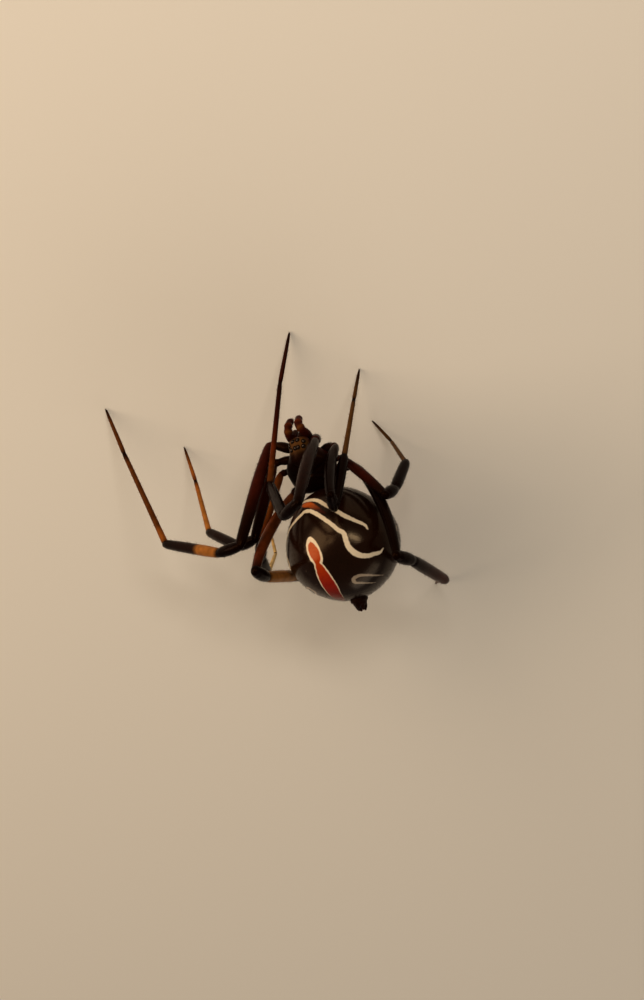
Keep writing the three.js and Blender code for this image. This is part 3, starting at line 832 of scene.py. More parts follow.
# %% [markdown]
# ## Spinnerets
# Six short two-jointed teats stand in a ring on a low mound, with a small cone, the colulus,
# before them and the anal tubercle behind. Here they are tubes along short paths, like a limb.

# %% Spinnerets
MOUND = {"radius": 0.45, "height": 0.17, "sunk": 0.25}
SPINNERET = {"length": 0.4, "base": 0.13, "tip": 0.072, "ring": 0.19, "knee": 0.55}
SPINNERET_PAIRS = [(1, -0.8, 1), (0.5, 0, 0.6), (1, 0.55, 0.9)]
GATHER = {"aside": 0.55, "upwards": 0.7}
TUBERCLE = {"offset": 0.31, "tip_offset": 0.27, "length": 0.17, "radius": 0.12}
COLULUS = {"offset": -0.4, "length": 0.1, "radius": 0.07}
ROOT_COLOURS, TIP_COLOURS = [(0, "pitch"), (1, "dark")], [(0, "pitch"), (0.8, "dark"), (1, "wine")]

rear_axis = abdomen_units(180 - SPINNERETS_ABOVE, 0)
rear_up = np.array([0, -rear_axis[2], rear_axis[1]])
rear_side = np.array([1, 0, 0])
rear_root = abdomen_surface(rear_axis[None])[0]


def at_rear(out, aside, up):
    return on_abdomen(rear_root + rear_axis * out + rear_side * aside + rear_up * up)


spinneret_paths = [
    tube_path(
        at_rear(-MOUND["sunk"], 0, 0),
        at_rear(MOUND["height"] * 0.45, 0, 0),
        [(0, MOUND["radius"]), (0.8, MOUND["radius"]), (1, MOUND["radius"] * 0.8)],
        ROOT_COLOURS,
        necks=0,
        hairy=0.4,
    )
]
for side in (-1, 1):
    for aside, up, share in SPINNERET_PAIRS:
        across, above = side * aside * SPINNERET["ring"], up * SPINNERET["ring"]
        length = SPINNERET["length"] * share
        foot = at_rear(0, across, above)
        knee = at_rear(
            MOUND["height"] + length * SPINNERET["knee"],
            across * (1 + GATHER["aside"]) / 2,
            above * (1 + GATHER["upwards"]) / 2,
        )
        end = at_rear(MOUND["height"] + length, across * GATHER["aside"], above * GATHER["upwards"])
        wide, thin = SPINNERET["base"] * math.sqrt(share), SPINNERET["tip"] * math.sqrt(share)
        end = end - unit(end - knee) * thin
        spinneret_paths += [
            tube_path(foot, knee, [(0, wide), (1, wide * 0.85)], ROOT_COLOURS),
            tube_path(knee, end, [(0, wide * 0.75), (1, thin)], TIP_COLOURS),
        ]
spinneret_paths += [
    tube_path(
        at_rear(0, 0, TUBERCLE["offset"]),
        at_rear(MOUND["height"] + TUBERCLE["length"], 0, TUBERCLE["tip_offset"]),
        [(0, TUBERCLE["radius"]), (0.6, TUBERCLE["radius"]), (1, TUBERCLE["radius"] * 0.5)],
        ROOT_COLOURS,
    ),
    tube_path(
        at_rear(0, 0, COLULUS["offset"]),
        at_rear(MOUND["height"] * 0.3 + COLULUS["length"], 0, COLULUS["offset"] * 0.9),
        [(0, COLULUS["radius"]), (1, COLULUS["radius"] * 0.5)],
        ROOT_COLOURS,
    ),
]
spinneret_mesh = tubes_mesh("spinneret_skin", spinneret_paths, 24, soft_cuticle)
place_with_coat(spinneret_mesh, ["spinnerets"], soft_cuticle, "spinnerets", 12)

# %% [markdown]
# ## Carapace
# The back shield of the cephalothorax is pear-shaped: narrow and domed at the head, wide and
# flatter behind, with a pit in its middle where the muscles of the sucking stomach pull. Shallow
# grooves run from the pit towards the legs, and two of them mark off the head.

# %% Carapace shape
CARAPACE = {"length": 3.04, "width": 2.7, "head_width": 1.32, "rim": -0.24, "keel": 0.1, "bluntness": 4}
CARAPACE_NECK = {"start": -0.72, "end": 0.1}
CARAPACE_RIDGE = [(-1, 0.5), (-0.7, 0.5), (-0.25, 0.6), (0.35, 0.8), (0.8, 0.66), (1, 0.66)]
RIDGE_SOFTENING = 0.12
CARAPACE_SHOULDER = 0.85
PIT = {"ahead": -0.42, "depth": 0.13, "across": 0.17, "along": 0.11}
GROOVES = [(34, 0.05, 1.05), (72, 0.03, 0.95), (108, 0.03, 0.95), (142, 0.03, 0.8)]
GROOVE_WIDTH = 0.075
GROOVE_START, GROOVE_FADE = (0.12, 0.3), (0.75, 1.1)
UPPER_SIDE = (0.1, 0.5)


def smooth_step(low, high, value):
    t = np.clip((value - low) / (high - low), 0, 1)
    return t * t * (3 - 2 * t)


def section(units):
    """How far each point lies sideways and upwards on the round section through it."""
    reach = np.maximum(1e-6, np.hypot(units[:, 0], units[:, 2]))
    return units[:, 0] / reach, units[:, 2] / reach


def carapace_shape(units, inset):
    """Places of the carapace in its own frame: left, backwards, upwards."""
    ahead = -units[:, 1]
    spread = smooth_step(CARAPACE_NECK["start"], CARAPACE_NECK["end"], -ahead)
    blunt = (1 - np.minimum(1, np.abs(ahead)) ** CARAPACE["bluntness"]) ** (1 / CARAPACE["bluntness"])
    aside, rise = section(units)
    half_width = (CARAPACE["head_width"] + (CARAPACE["width"] - CARAPACE["head_width"]) * spread) / 2
    half_width = (half_width - inset) * blunt
    at, heights = np.array(CARAPACE_RIDGE).T
    taps = [np.interp(ahead + tap, at, heights) for tap in np.linspace(-RIDGE_SOFTENING, RIDGE_SOFTENING, 7)]
    height = np.mean(taps, axis=0) - inset
    top = height * blunt * np.sign(rise) * np.abs(rise) ** CARAPACE_SHOULDER
    depth = np.where(rise > 0, top, (CARAPACE["keel"] - inset) * blunt * rise)
    backwards = (CARAPACE["length"] / 2 - inset) * units[:, 1]
    return np.stack([half_width * aside, backwards, CARAPACE["rim"] + depth], -1)


def carapace_hollows(places):
    """How deep the pit and the grooves press into the back at each place, in mm."""
    side, ahead = places[:, 0], -places[:, 1]
    past_pit = ahead - PIT["ahead"]
    hollow = PIT["depth"] * np.exp(-((side / PIT["across"]) ** 2) - (past_pit / PIT["along"]) ** 2)
    reach = np.hypot(side, past_pit)
    bearing = np.degrees(np.arctan2(np.abs(side), past_pit))
    for angle, depth, length in GROOVES:
        off = reach * np.sin(np.radians(np.clip(np.abs(bearing - angle), 0, 90)))
        along = smooth_step(*GROOVE_START, reach) * (1 - smooth_step(*GROOVE_FADE, reach / length))
        hollow = hollow + depth * along * np.exp(-((off / GROOVE_WIDTH) ** 2))
    return hollow


# %% Carapace skin, colours and coat
SHELL_DEPTH = 0.021
RIM_BAND, HEAD_BAND, FACE_BAND = (0.0, 0.35), (-0.2, 1.0), (0.75, 1.1)
GROOVE_DARK_DEPTH = 0.05
BARE_MARGIN, BARE_RIM, SPARSE_REAR = 0.03, 0.1, 0.4


def skin_of_carapace(units):
    places = carapace_shape(units, SHELL_DEPTH)
    upper = smooth_step(*UPPER_SIDE, section(units)[1])
    places[:, 2] -= upper * carapace_hollows(places)
    return HEAD_END_AT + places @ HEAD_END_TURN.T


carapace_mesh, carapace_globe = shaped_globe("carapace_shell", skin_of_carapace, around=168, lengthwise=120)
own_places = carapace_shape(carapace_globe, 0)
hollows = carapace_hollows(own_places)
height_share = smooth_step(*RIM_BAND, own_places[:, 2] - CARAPACE["rim"])
dark_share = np.clip(hollows / GROOVE_DARK_DEPTH, 0, 1)
head_share = smooth_step(*HEAD_BAND, -own_places[:, 1])
face_tone_and_sheen = smooth_step(*FACE_BAND, -own_places[:, 1])


def blended(under, over, share):
    """Linear colours: `over` laid on `under` by a share for each vertex."""
    return under + (over - under) * share[:, None]


pitch, dark, olive, wine = (np.array(linear(PAINT[name])) for name in ("pitch", "dark", "olive", "wine"))
# The olive over the face is partly the head's own paler tone and partly a painted sheen on the head dome.
shell_colour = blended(blended(pitch, dark, head_share), olive, face_tone_and_sheen)
shell_colour = blended(blended(wine, shell_colour, height_share), pitch, dark_share)
write_attribute(carapace_mesh, "cuticle", shell_colour, "FLOAT_COLOR")
from_poles = np.clip((1 - np.abs(carapace_globe[:, 1])) / BARE_MARGIN, 0, 1)
coated_part = (carapace_globe[:, 2] > BARE_RIM) * from_poles * (SPARSE_REAR + (1 - SPARSE_REAR) * head_share)
comb(carapace_mesh, carapace_globe, HEAD_END_TURN, [0, -1, 0], coated_part)
place_with_coat(carapace_mesh, ["carapace"], carapace_cuticle, "carapace", 13)

# %% [markdown]
# ## Turned shapes
# Eyes, their rims, claws and fangs are small bodies of revolution. One helper turns a profile
# about an axis and can bend it on the way, which makes a fang out of a cone.


# %% Lathe helpers
OFF_AXIS = (0.36, 0.48, 0.8)


def turned(profile, sides, base, axis, curve=(0, 0, 0)):
    """Rings of (radius, height) pairs round an axis, closed at both ends; `curve` bends the tip."""
    axis = unit(axis)
    across = unit(np.cross(axis, OFF_AXIS))
    upright = np.cross(axis, across)
    top = max(abs(height) for _, height in profile)
    points, faces = [], []
    for radius, height in profile:
        centre = np.asarray(base) + axis * height + np.asarray(curve) * (height / top) ** 2
        for spoke in range(sides):
            turn = 2 * math.pi * spoke / sides
            points.append(centre + radius * (math.cos(turn) * across + math.sin(turn) * upright))
    for row in range(len(profile) - 1):
        for spoke in range(sides):
            after = (spoke + 1) % sides
            a, b = row * sides + spoke, row * sides + after
            faces.append((a, b, b + sides, a + sides))
    faces.append(tuple(range(sides))[::-1])
    faces.append(tuple(range((len(profile) - 1) * sides, len(profile) * sides)))
    return points, faces


def spike_profile(size, rings):
    """A profile that tapers from a root to a fine tip: the lower its power, the fuller it is."""
    shares = np.linspace(0, 1, rings)
    return [(size["root"] * (1 - s) ** size["power"] + size["tip"], size["length"] * s) for s in shares]


def turned_mesh(name, shapes, colour):
    """Joins several turned shapes into one mesh of one cuticle colour."""
    points, faces = [], []
    for shape_points, shape_faces in shapes:
        faces += [tuple(i + len(points) for i in face) for face in shape_faces]
        points += shape_points
    mesh = new_mesh(name, points, faces=faces)
    face_outwards(mesh)
    write_attribute(mesh, "cuticle", np.tile(linear(PAINT[colour]), (len(points), 1)), "FLOAT_COLOR")
    return mesh


# %% [markdown]
# ## Eyes
# Eight eyes stand in two rows on the front of the head. Each is one smooth clear lens, like a
# glass bead set in a dark ring: no facets. The front middle pair looks black, and the others have
# a faint pearly layer behind the lens. It gives the eye one sharp highlight on a dark bead.

# %% Eyes
EYE = {"radius": 0.075, "rise": 0.06, "sink": 0.03}
EYE_RING = {"radius": 0.1, "tube": 0.02, "foot": 0.11, "inner": 0.0675, "sunk": 0.04}
EYE_SIDES = 28
EYE_NAMES = ["front_middle", "front_side", "rear_middle", "rear_side"]


def eye_lens(name, roughness, cup_colour):
    """Clear glossy glass over a cup of one colour."""
    material, _, shader, _ = new_material(name, Roughness=roughness, Coat_Weight=0.6)
    shader.inputs["Base Color"].default_value = linear(cup_colour)
    return material


eye_glass = eye_lens("clear lens over a dark eye cup", 0.05, "#060404")
pearly_glass = eye_lens("clear lens over a pearly eye cup", 0.06, "#1c1510")
shell_faces = [face.vertices for face in carapace_mesh.polygons]
shell = BVHTree.FromPolygons([vertex.co for vertex in carapace_mesh.vertices], shell_faces)
climb = np.radians([0, 15, 30, 45, 60, 75, 88])
dome = [(EYE["radius"], -EYE["sink"])]
dome += [(EYE["radius"] * math.cos(a), EYE["rise"] * math.sin(a)) for a in climb]
rim = [(EYE_RING["foot"], -EYE_RING["sunk"])]
rim += [
    (EYE_RING["radius"] - EYE_RING["tube"] * math.cos(a), EYE_RING["tube"] * math.sin(a))
    for a in np.radians(range(180, -1, -30))
]
rim.append((EYE_RING["inner"], -EYE_RING["sunk"]))
rings = []
for eye_name in EYE_NAMES:
    for side in ("left", "right"):
        low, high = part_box(f"eye_{eye_name}_{side}")
        spot, outward, _, _ = shell.find_nearest((low + high) / 2)
        seat = np.array(spot) / MM
        lens_points, lens_faces = turned(dome, EYE_SIDES, seat, outward)
        lens = new_mesh(f"lens_{eye_name}_{side}", lens_points, faces=lens_faces)
        face_outwards(lens)
        glass = eye_glass if eye_name == "front_middle" else pearly_glass
        place_piece(lens, [f"eye_{eye_name}_{side}"], glass)
        rings.append(turned(rim, EYE_SIDES, seat, outward))
ring_mesh = turned_mesh("eye_rings", rings, "pitch")
place_piece(ring_mesh, material=carapace_cuticle)

# %% [markdown]
# ## Underside of the head end
# Between the legs lies the sternum, a heart-shaped shield, and above it the soft flank that the
# coxae are hinged to. In front of it are the labium and the two endites, which close the mouth.

# %% Sternum
STERNUM = {"length": 1.95, "width": 1.36, "top": -0.4, "bottom": -0.98, "taper": 0.28}
COATED_BELOW = -0.3


def skin_of_sternum(units):
    ahead = -units[:, 1]
    aside, rise = section(units)
    blunt = np.sqrt(1 - np.minimum(1, np.abs(ahead)) ** 3)
    half_width = (STERNUM["width"] / 2 - SKIN_DEPTH) * blunt * (1 - STERNUM["taper"] * np.maximum(0, -ahead))
    middle = (STERNUM["top"] + STERNUM["bottom"]) / 2
    half_height = (STERNUM["top"] - STERNUM["bottom"]) / 2 - SKIN_DEPTH
    backwards = (STERNUM["length"] / 2 - SKIN_DEPTH) * units[:, 1]
    places = np.stack([half_width * aside, backwards, middle + half_height * blunt * rise], -1)
    return HEAD_END_AT + places @ HEAD_END_TURN.T


sternum_mesh, sternum_globe = shaped_globe("sternum_shield", skin_of_sternum, around=96, lengthwise=64)
write_attribute(sternum_mesh, "cuticle", np.tile(wine, (len(sternum_globe), 1)), "FLOAT_COLOR")
comb(sternum_mesh, sternum_globe, HEAD_END_TURN, [0, 1, 0], sternum_globe[:, 2] < COATED_BELOW)
place_with_coat(sternum_mesh, ["sternum"], carapace_cuticle, "sternum", 14)

# %% Stalk, labium and endites
MOUTH_LEVEL = -0.78
LABIUM = {"from": (1.0, 0, MOUTH_LEVEL), "to": (1.22, 0, MOUTH_LEVEL - 0.02), "radius": 0.19}
ENDITE = {"from": (1.0, 0.33, MOUTH_LEVEL), "to": (1.42, 0.22, MOUTH_LEVEL - 0.03), "radius": 0.15}
STALK = [on_head_end(-1.02, 0, -0.68), on_head_end(-1.66, 0, -0.6), on_abdomen([0, -2.3, -1.05])]

stalk_paths = [
    tube_path(STALK[0], STALK[1], [(0, 0.17), (1, 0.17)], [(0, "dark"), (1, "rust")], necks=0.3, hairy=0.2),
    tube_path(STALK[1], STALK[2], [(0, 0.16), (1, 0.2)], [(0, "rust"), (1, "dark")], necks=0.3, hairy=0.2),
]
stalk_mesh = tubes_mesh("stalk_skin", stalk_paths, 24, soft_cuticle)
place_piece(stalk_mesh, ["pedicel"])
mouth_paths = [
    tube_path(
        on_head_end(*LABIUM["from"]),
        on_head_end(*LABIUM["to"]),
        [(0, LABIUM["radius"]), (1, LABIUM["radius"] * 0.7)],
        [(0, "dark"), (1, "chestnut")],
        necks=0,
    )
]
for side in (1, -1):
    mouth_paths.append(
        tube_path(
            on_head_end(*ENDITE["from"], side),
            on_head_end(*ENDITE["to"], side),
            [(0, ENDITE["radius"]), (0.6, ENDITE["radius"]), (1, ENDITE["radius"] * 0.75)],
            [(0, "rust"), (0.7, "chestnut"), (1, "honey")],
            necks=0,
        )
    )
mouth_mesh = tubes_mesh("mouth_skin", mouth_paths, 24, limb_cuticle)
place_with_coat(mouth_mesh, ["mouthparts"], limb_cuticle, "mouth", 15)

# %% [markdown]
# ## Jaws and fangs
# Each chelicera is an upright, slightly swollen column under the face. The fang is a separate
# curved claw at its foot, folded inwards, glossy and dark red-brown all over.

# %% Jaws
CHELICERA = {"top": (1.36, 0.24, -0.2), "bottom": (1.57, 0.22, -0.86)}
CHELICERA_RADIUS = [(0, 0.19), (0.35, 0.21), (1, 0.16)]
FANG = {"length": 0.16, "root": 0.055, "tip": 0.004, "power": 0.7}
FANG_KNUCKLE, FANG_INWARDS, FANG_CURVE = (1.62, 0.2, -0.95), (-0.75, 0.1, -0.55), (-0.02, 0.05, 0)
for side, word in ((1, "left"), (-1, "right")):
    jaw_paths = [
        tube_path(
            on_head_end(*CHELICERA["top"], side),
            on_head_end(*CHELICERA["bottom"], side),
            CHELICERA_RADIUS,
            [(0, "dark"), (0.6, "wine"), (1, "rust")],
            necks=0,
        )
    ]
    jaw_mesh = tubes_mesh(f"jaw_{word}", jaw_paths, 32, limb_cuticle)
    place_with_coat(jaw_mesh, [f"chelicera_{word}"], limb_cuticle, "jaw", 16)
    knuckle = on_head_end(*FANG_KNUCKLE, side)
    inwards, curve = (HEAD_END_TURN @ (np.array(way) * [side, 1, 1]) for way in (FANG_INWARDS, FANG_CURVE))
    fang = turned(spike_profile(FANG, 9), 16, knuckle, inwards, curve)
    fang_mesh = turned_mesh(f"fang_{word}", [fang], "wine")
    place_piece(fang_mesh, material=limb_cuticle)

# %% [markdown]
# ## Palps
# The palps are two short limbs beside the mouth, bent like arms before the face. Each has a
# femur, a patella, a tibia and a tarsus. They are brown, and short soft sleeves join them.

# %% Palps
PALP_AHEAD = (1.14, 1.42, 1.74, 2.04, 2.18, 2.2)
PALP_ASIDE = {"left": (0.42, 0.45, 0.32, 0.24, 0.22, 0.16), "right": (0.5, 0.57, 0.48, 0.36, 0.34, 0.27)}
PALP_UP = (-0.66, -0.42, -0.2, -0.3, -0.6, -1.08)
PALP_TUBES = [
    (0, 2, [(0, 0.18), (0.5, 0.23), (1, 0.215)], [(0, "dark"), (0.7, "wine"), (1, "wine")]),
    (2, 3, [(0, 0.215), (0.5, 0.24), (1, 0.21)], [(0, "wine"), (0.5, "bark"), (1, "wine")]),
    (3, 4, [(0, 0.21), (0.5, 0.23), (1, 0.2)], [(0, "wine"), (0.5, "rust"), (1, "wine")]),
    (4, 5, [(0, 0.19), (0.4, 0.2), (0.85, 0.13), (1, 0.08)], [(0, "wine"), (0.5, "wine"), (1, "dark")]),
]
PALP_SLEEVE = 0.17
MEMBRANE_REACH = 0.1
MEMBRANE_BOW = 0.3


def membrane(before, joint, after, radius, tone):
    """The short soft sleeve that shows where two tubes meet."""
    back, on = unit(np.subtract(before, joint)), unit(np.subtract(after, joint))
    return tube_path(
        joint + back * MEMBRANE_REACH,
        joint + on * MEMBRANE_REACH,
        [(0, radius), (1, radius)],
        [(0, tone), (1, tone)],
        bow=-(back + on) * MEMBRANE_REACH * MEMBRANE_BOW,
        necks=0,
        hairy=0,
    )


for side, word in ((1, "left"), (-1, "right")):
    joints = [on_head_end(*joint, side) for joint in zip(PALP_AHEAD, PALP_ASIDE[word], PALP_UP)]
    palp_paths = [
        tube_path(joints[first], joints[last], profile, colours, necks=0.8)
        for first, last, profile, colours in PALP_TUBES
    ]
    palp_paths += [membrane(joints[i - 1], joints[i], joints[i + 1], PALP_SLEEVE, "wine") for i in (2, 3, 4)]
    palp_mesh = tubes_mesh(f"palp_skin_{word}", palp_paths, 28, limb_cuticle)
    place_with_coat(palp_mesh, [f"palp_{word}"], limb_cuticle, "palp", 17)

# %% [markdown]
# ## Legs
# Each leg is a row of hard tubes: coxa, trochanter, femur, patella, tibia, metatarsus and
# tarsus. The pose is given as a bearing and a slope for every length, from the body outwards.
# The feet stand on the ground on their claws.

# %% Sizes and pose of the legs
PAIRS = {
    1: {"lengths": [1.25, 6.0, 1.45, 4.6, 5.5], "tarsus": 2.6, "stout": 1.0, "shank": 1.04},
    2: {"lengths": [1.1, 4.5, 1.2, 3.3, 3.6], "tarsus": 1.95, "stout": 0.88, "shank": 1.0},
    3: {"lengths": [1.05, 3.6, 1.05, 2.42, 2.75], "tarsus": 1.5, "stout": 0.78, "shank": 1.06},
    4: {"lengths": [1.5, 6.3, 1.35, 4.4, 4.8], "tarsus": 2.1, "stout": 0.86, "shank": 1.14},
}
FEMUR_BOW = {1: (0, 0.04), 2: (0, 0.04), 3: (0.02, 0.02), 4: (0.06, 0.01)}
COXA_BOW = (0, -0.1)
COXA_PART_OF_BOW = 0.4
TROCHANTER_AT = 0.72
COXA_ROOT = {1: (0.85, 0.68, -0.62), 2: (0.32, 0.84, -0.62), 3: (-0.24, 0.84, -0.6), 4: (-0.78, 0.72, -0.56)}
POSE = {
    ("left", 1): [(-29, -10), (49, 61), (8, -19), (-4, -38), (-76, -40), -82],
    ("left", 2): [(-11, -2), (52, 61), (15, -20), (-6, -49), (-69, -62), -86],
    ("left", 3): [(-4, -9), (48, 38), (60, -6), (65, -38), (63, -82), -79],
    ("left", 4): [(33, -17), (15, 78), (86, -45), (95, -56), (107, -62), 112],
    ("right", 1): [(-128, 60), (66, 89), (28, -21), (3, -70), (-116, -50), -125],
    ("right", 2): [(-170, 35), (123, 85), (68, -28), (-122, -69), (-120, -66), -122],
    ("right", 3): [(178, 32), (143, 46), (127, -68), (-177, -82), (-15, -68), -58],
    ("right", 4): [(168, 11), (120, 61), (105, -42), (89, -43), (51, -58), 46],
}
LIMB_PROFILES = {
    "coxa": [(0, 0.23), (0.35, 0.265), (0.85, 0.235), (1, 0.23)],
    "trochanter": [(0, 0.22), (0.5, 0.25), (1, 0.21)],
    "femur": [(0, 0.21), (0.1, 0.27), (0.35, 0.325), (0.6, 0.32), (0.85, 0.28), (1, 0.245)],
    "patella": [(0, 0.25), (0.5, 0.29), (1, 0.25)],
    "tibia": [(0, 0.235), (0.25, 0.27), (0.7, 0.26), (1, 0.225)],
    "metatarsus": [(0, 0.17), (0.1, 0.155), (0.5, 0.135), (1, 0.115)],
    "tarsus": [(0, 0.115), (0.3, 0.11), (0.8, 0.085), (1, 0.06)],
}
LIMB_ORDER = list(LIMB_PROFILES)
print("a first leg is", sum(PAIRS[1]["lengths"]) + PAIRS[1]["tarsus"], "mm long")

# %% Colours along the legs
LEG_PAINT = {
    "coxa": [(0, "pitch"), (0.6, "dark"), (1, "dark")],
    "trochanter": [(0, "dark"), (1, "wine")],
    "femur": [(0, "wine"), (0.5, "wine"), (0.75, "dark"), (1, "pitch")],
    "patella": [(0, "pitch"), (1, "pitch")],
    "tibia": [(0, "pitch"), (0.06, "honey"), (0.34, "honey"), (0.42, "dark"), (1, "pitch")],
    "metatarsus": [(0, "dark"), (0.06, "amber"), (0.2, "bark"), (0.9, "bark"), (0.97, "dark"), (1, "pitch")],
    "tarsus": [(0, "dark"), (0.1, "bark"), (0.7, "bark"), (1, "pitch")],
}
DARK_TIBIA = [(0, "pitch"), (1, "pitch")]
# Each leg's own bands, with the light and shade that fall on it painted in: painted light on the left legs,
# which are lit from behind, and painted shade on the right ones.
LEG_BANDS_WITH_PAINTED_LIGHT_AND_SHADE = {
    # Painted light: the honey, amber and straw lengths of the left legs are painted lighter where the light
    # from behind shines through them.
    ("left", 2): {
        "tibia": [(0, "pitch"), (0.7, "dark"), (1, "pitch")],
        "metatarsus": [(0, "dark"), (0.06, "honey"), (0.6, "honey"), (0.9, "amber"), (0.97, "dark")],
        "tarsus": [(0, "rust"), (0.3, "amber"), (1, "dark")],
    },
    ("left", 3): {
        "femur": [(0, "chestnut"), (0.5, "amber"), (0.8, "chestnut"), (1, "pitch")],
        "tibia": DARK_TIBIA,
        "metatarsus": [(0, "dark"), (0.08, "straw"), (1, "straw")],
        "tarsus": [(0, "straw"), (0.8, "tan"), (1, "dark")],
    },
    ("left", 4): {
        "femur": [(0, "chestnut"), (0.5, "chestnut"), (0.85, "rust"), (1, "pitch")],
        "tibia": [(0, "dark"), (0.06, "honey"), (0.6, "honey"), (0.8, "dark"), (1, "pitch")],
    },
    # Painted shade: the right legs lie in shade, so they are painted near black, with dull olive feet.
    ("right", 1): {
        "femur": [(0, "pitch"), (0.4, "dark"), (0.8, "dark"), (1, "pitch")],
        "tibia": DARK_TIBIA,
        # Painted highlight: this metatarsus is painted lighter towards its knee.
        "metatarsus": [(0, "dark"), (0.05, "bark"), (0.35, "rust"), (0.6, "wine"), (1, "dark")],
        "tarsus": [(0, "pitch"), (0.1, "wine"), (1, "dark")],
    },
    ("right", 2): {
        "femur": [(0, "dark"), (0.4, "pitch"), (1, "pitch")],
        "tibia": DARK_TIBIA,
        "metatarsus": [(0, "dark"), (0.05, "olive"), (0.93, "olive"), (0.98, "pitch"), (1, "pitch")],
        "tarsus": [(0, "dark"), (0.12, "olive"), (1, "dark")],
    },
    ("right", 3): {
        "femur": [(0, "dark"), (0.35, "wine"), (0.6, "wine"), (0.85, "dark"), (1, "pitch")],
        "tibia": DARK_TIBIA,
        "metatarsus": [(0, "dark"), (0.08, "olive"), (0.9, "olive"), (1, "dark")],
        "tarsus": [(0, "dark"), (0.12, "olive"), (1, "dark")],
    },
    ("right", 4): {
        "femur": [(0, "dark"), (0.3, "pitch"), (1, "pitch")],
        # Painted light: this tibia is painted lighter towards its far end, which lies out of the body's
        # shadow.
        "tibia": [(0, "pitch"), (0.3, "dark"), (0.8, "wine"), (0.97, "wine"), (1, "dark")],
    },
}
# The legs counted here have their own bands with painted light and painted shade laid in.
print("legs with bands of their own:", len(LEG_BANDS_WITH_PAINTED_LIGHT_AND_SHADE))


# %% Joints of a leg
def heading_of(bearing, slope):
    flat = math.cos(math.radians(slope))
    turn = math.radians(bearing)
    return np.array([flat * math.cos(turn), flat * math.sin(turn), math.sin(math.radians(slope))])


def leg_joints(word, pair):
    """The joints from the coxa's root to the tip of the tarsus on the ground."""
    sizes, pose = PAIRS[pair], POSE[word, pair]
    joints = [on_head_end(*COXA_ROOT[pair], 1 if word == "left" else -1)]
    for length, (bearing, slope) in zip(sizes["lengths"], pose):
        joints.append(joints[-1] + length * heading_of(bearing, slope))
    slope = math.degrees(math.asin(-joints[-1][2] / sizes["tarsus"]))
    joints.append(joints[-1] + sizes["tarsus"] * heading_of(pose[5], slope))
    return joints


def bowed(start, end, bow, side):
    """The push at the middle of a length that bows outwards and upwards by shares of itself."""
    forward = end - start
    length = np.linalg.norm(forward)
    along = forward / length
    push = np.array([side * bow[0], 0, bow[1]])
    return unit(push - along * (along @ push)) * np.linalg.norm(push) * length


highest = max(joint[2] for leg in POSE for joint in leg_joints(*leg))
print("the highest knee is", round(highest, 1), "mm above the ground")


# %% Build the legs
CLAW = {"length": 0.13, "root": 0.022, "tip": 0.002, "power": 0.8}
CLAW_SPREAD, CLAW_ABOVE, CLAW_DROOP, CLAW_CURVE = 0.35, 0.1, 0.45, (0, 0, -0.01)
BARE_TIP_FROM = 0.88
LEG_SIDES = 28
SLEEVE_SHARE = 0.86

for leg_number, (word, pair) in enumerate(POSE):
    joints = leg_joints(word, pair)
    thickness = dict.fromkeys(LIMB_ORDER, PAIRS[pair]["stout"])
    thickness["patella"] = thickness["tibia"] = PAIRS[pair]["shank"]
    side = 1 if word == "left" else -1
    sag = bowed(joints[0], joints[1], COXA_BOW, side)
    hinge = joints[0] + (joints[1] - joints[0]) * TROCHANTER_AT
    hinge = hinge + sag * 4 * TROCHANTER_AT * (1 - TROCHANTER_AT)
    toe = joints[6] + [0, 0, CLAW_ABOVE]
    stations = [joints[0], hinge, *joints[1:6], toe]
    paths = []
    for i, article in enumerate(LIMB_ORDER):
        profile = [(t, r * thickness[article]) for t, r in LIMB_PROFILES[article]]
        colours = LEG_BANDS_WITH_PAINTED_LIGHT_AND_SHADE.get((word, pair), {}).get(article, LEG_PAINT[article])
        bow = None
        if article == "femur":
            bow = bowed(stations[i], stations[i + 1], FEMUR_BOW[pair], side)
        elif article == "coxa":
            bow = sag * COXA_PART_OF_BOW
        paths.append(tube_path(stations[i], stations[i + 1], profile, colours, bow=bow))
        if article == "tarsus":
            paths[-1]["hairy"] *= paths[-1]["t"] < BARE_TIP_FROM
    for i, article in enumerate(LIMB_ORDER[1:], start=1):
        sleeve = LIMB_PROFILES[article][0][1] * thickness[article] * SLEEVE_SHARE
        paths.append(membrane(stations[i - 1], stations[i], stations[i + 1], sleeve, "pitch"))
    leg_mesh = tubes_mesh(f"leg{pair}_{word}_skin", paths, LEG_SIDES, limb_cuticle)
    nodes = [f"leg{pair}_{word}_{part}" for part in ("coxa", "femur", "patella", "tibia", "foot")]
    place_with_coat(leg_mesh, nodes, limb_cuticle, "leg", 20 + leg_number)
    forward = unit((joints[6] - joints[5]) * [1, 1, CLAW_DROOP])
    beside = unit(np.cross(forward, [0, 0, 1])) * CLAW_SPREAD
    claws = [turned(spike_profile(CLAW, 7), 10, toe, forward + beside * way, CLAW_CURVE) for way in (-1, 1)]
    claw_mesh = turned_mesh(f"leg{pair}_{word}_claws", claws, "pitch")
    place_piece(claw_mesh, material=limb_cuticle)

# %% [markdown]
# ## Floor, light and camera
# The animal is photographed from above and in front of its right side, so the camera stands
# there and is rolled as in the photo. The floor is a plain sheet of matt paper board, which shows
# soft shadows and no reflections. A glossy black globe shows its lights as reflections: a wide
# low one before the head gives the broad brown sheen, a small one beside the camera the glint by
# the cream line, and a weak one lights the rear. A black animal on a pale floor needs contrast,
# so the view's gamma is a little under one.

# %% Floor
FLOOR_HALF = 400
PAPER_IOR = 1.45
corners = [(x * FLOOR_HALF, y * FLOOR_HALF, 0) for x, y in ((-1, -1), (1, -1), (1, 1), (-1, 1))]
floor = new_object("floor", new_mesh("floor", corners, faces=[(0, 1, 2, 3)]))
floor_paper, _, shader, _ = new_material("matt pale paper board", Roughness=0.85, IOR=PAPER_IOR)
shader.inputs["Base Color"].default_value = linear("#d9d4cb")
floor.data.materials.append(floor_paper)
print("floor:", 2 * FLOOR_HALF, "mm across")

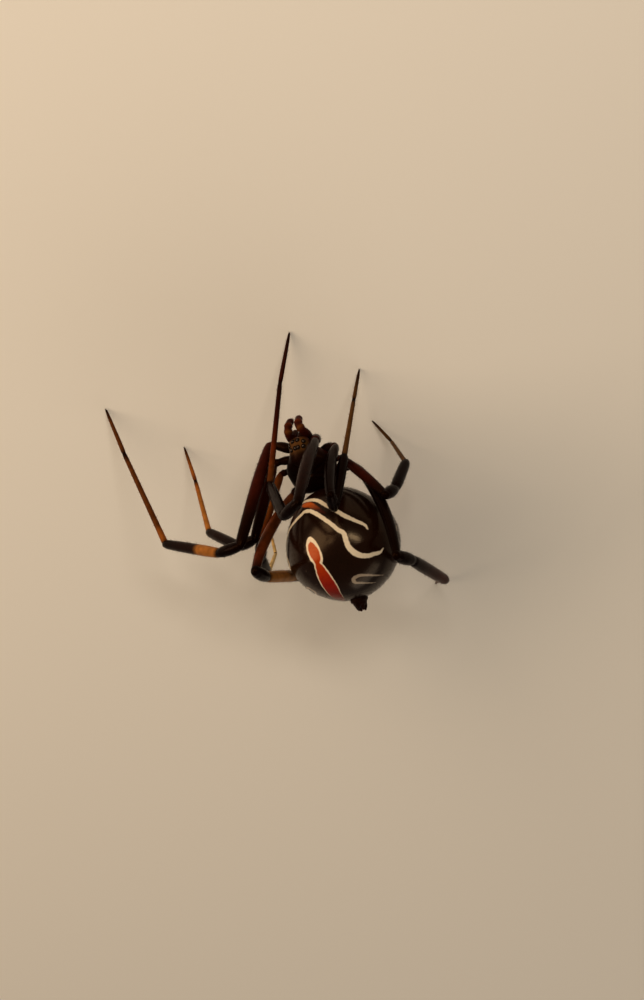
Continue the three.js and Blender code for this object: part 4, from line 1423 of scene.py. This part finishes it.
# %% Lights
TARGET = Vector((-3.0, 0.5, 4.5)) * MM


def soft_light(name, bearing, slope, distance_mm, wide_mm, high_mm, watts, colour):
    lamp = bpy.data.lights.new(name, "AREA")
    lamp.shape = "RECTANGLE"
    lamp.size, lamp.size_y = wide_mm * MM, high_mm * MM
    lamp.energy = watts
    lamp.color = linear(colour)[:3]
    holder = new_object(name, lamp)
    direction = Vector(heading_of(bearing, slope))
    holder.location = TARGET + direction * distance_mm * MM
    holder.rotation_euler = direction.to_track_quat("Z", "Y").to_euler()


# name, bearing and slope in degrees, distance, width and height in mm, watts, colour
LIGHTS = [
    ("glint from beside the camera", -132, 42, 130, 46, 18, 0.045, "#fff6ea"),
    ("key light before the head", -58, 30, 150, 240, 80, 0.24, "#ffe8cc"),
    ("weak light behind the rear", 100, 26, 170, 150, 60, 0.05, "#fff8ee"),
]
for light in LIGHTS:
    soft_light(*light)
world = bpy.data.worlds.new("pale studio")
world.use_nodes = True
background = world.node_tree.nodes["Background"].inputs
background["Color"].default_value = linear("#e6ded2")
background["Strength"].default_value = 0.26
bpy.context.scene.world = world
view = bpy.context.scene.view_settings
view.view_transform = "Standard"
view.gamma = 0.84
view.exposure = 0.16
print(len(LIGHTS), "lights and a dim warm world")

# %% Camera
CAMERA_AT = (-39.74, -44.20, 99.58)
CAMERA_LOOK = (0.3349, 0.3910, -0.8573)
CAMERA_UP = (-0.3401, -0.7984, -0.4969)
LENS_MM = 79.2
NEAR_LIMIT_M = 0.001

look, up = Vector(CAMERA_LOOK).normalized(), Vector(CAMERA_UP).normalized()
right = look.cross(up).normalized()
up = right.cross(look)
camera = new_object("camera", bpy.data.cameras.new("camera"))
turned_to_view = Matrix((right, up, -look)).transposed().to_4x4()
camera.matrix_world = Matrix.Translation(Vector(CAMERA_AT) * MM) @ turned_to_view
camera.data.lens = LENS_MM
camera.data.clip_start = NEAR_LIMIT_M
bpy.context.scene.camera = camera
print("camera is", round((Vector(CAMERA_AT) * MM - TARGET).length * 1000), "mm from the spider")
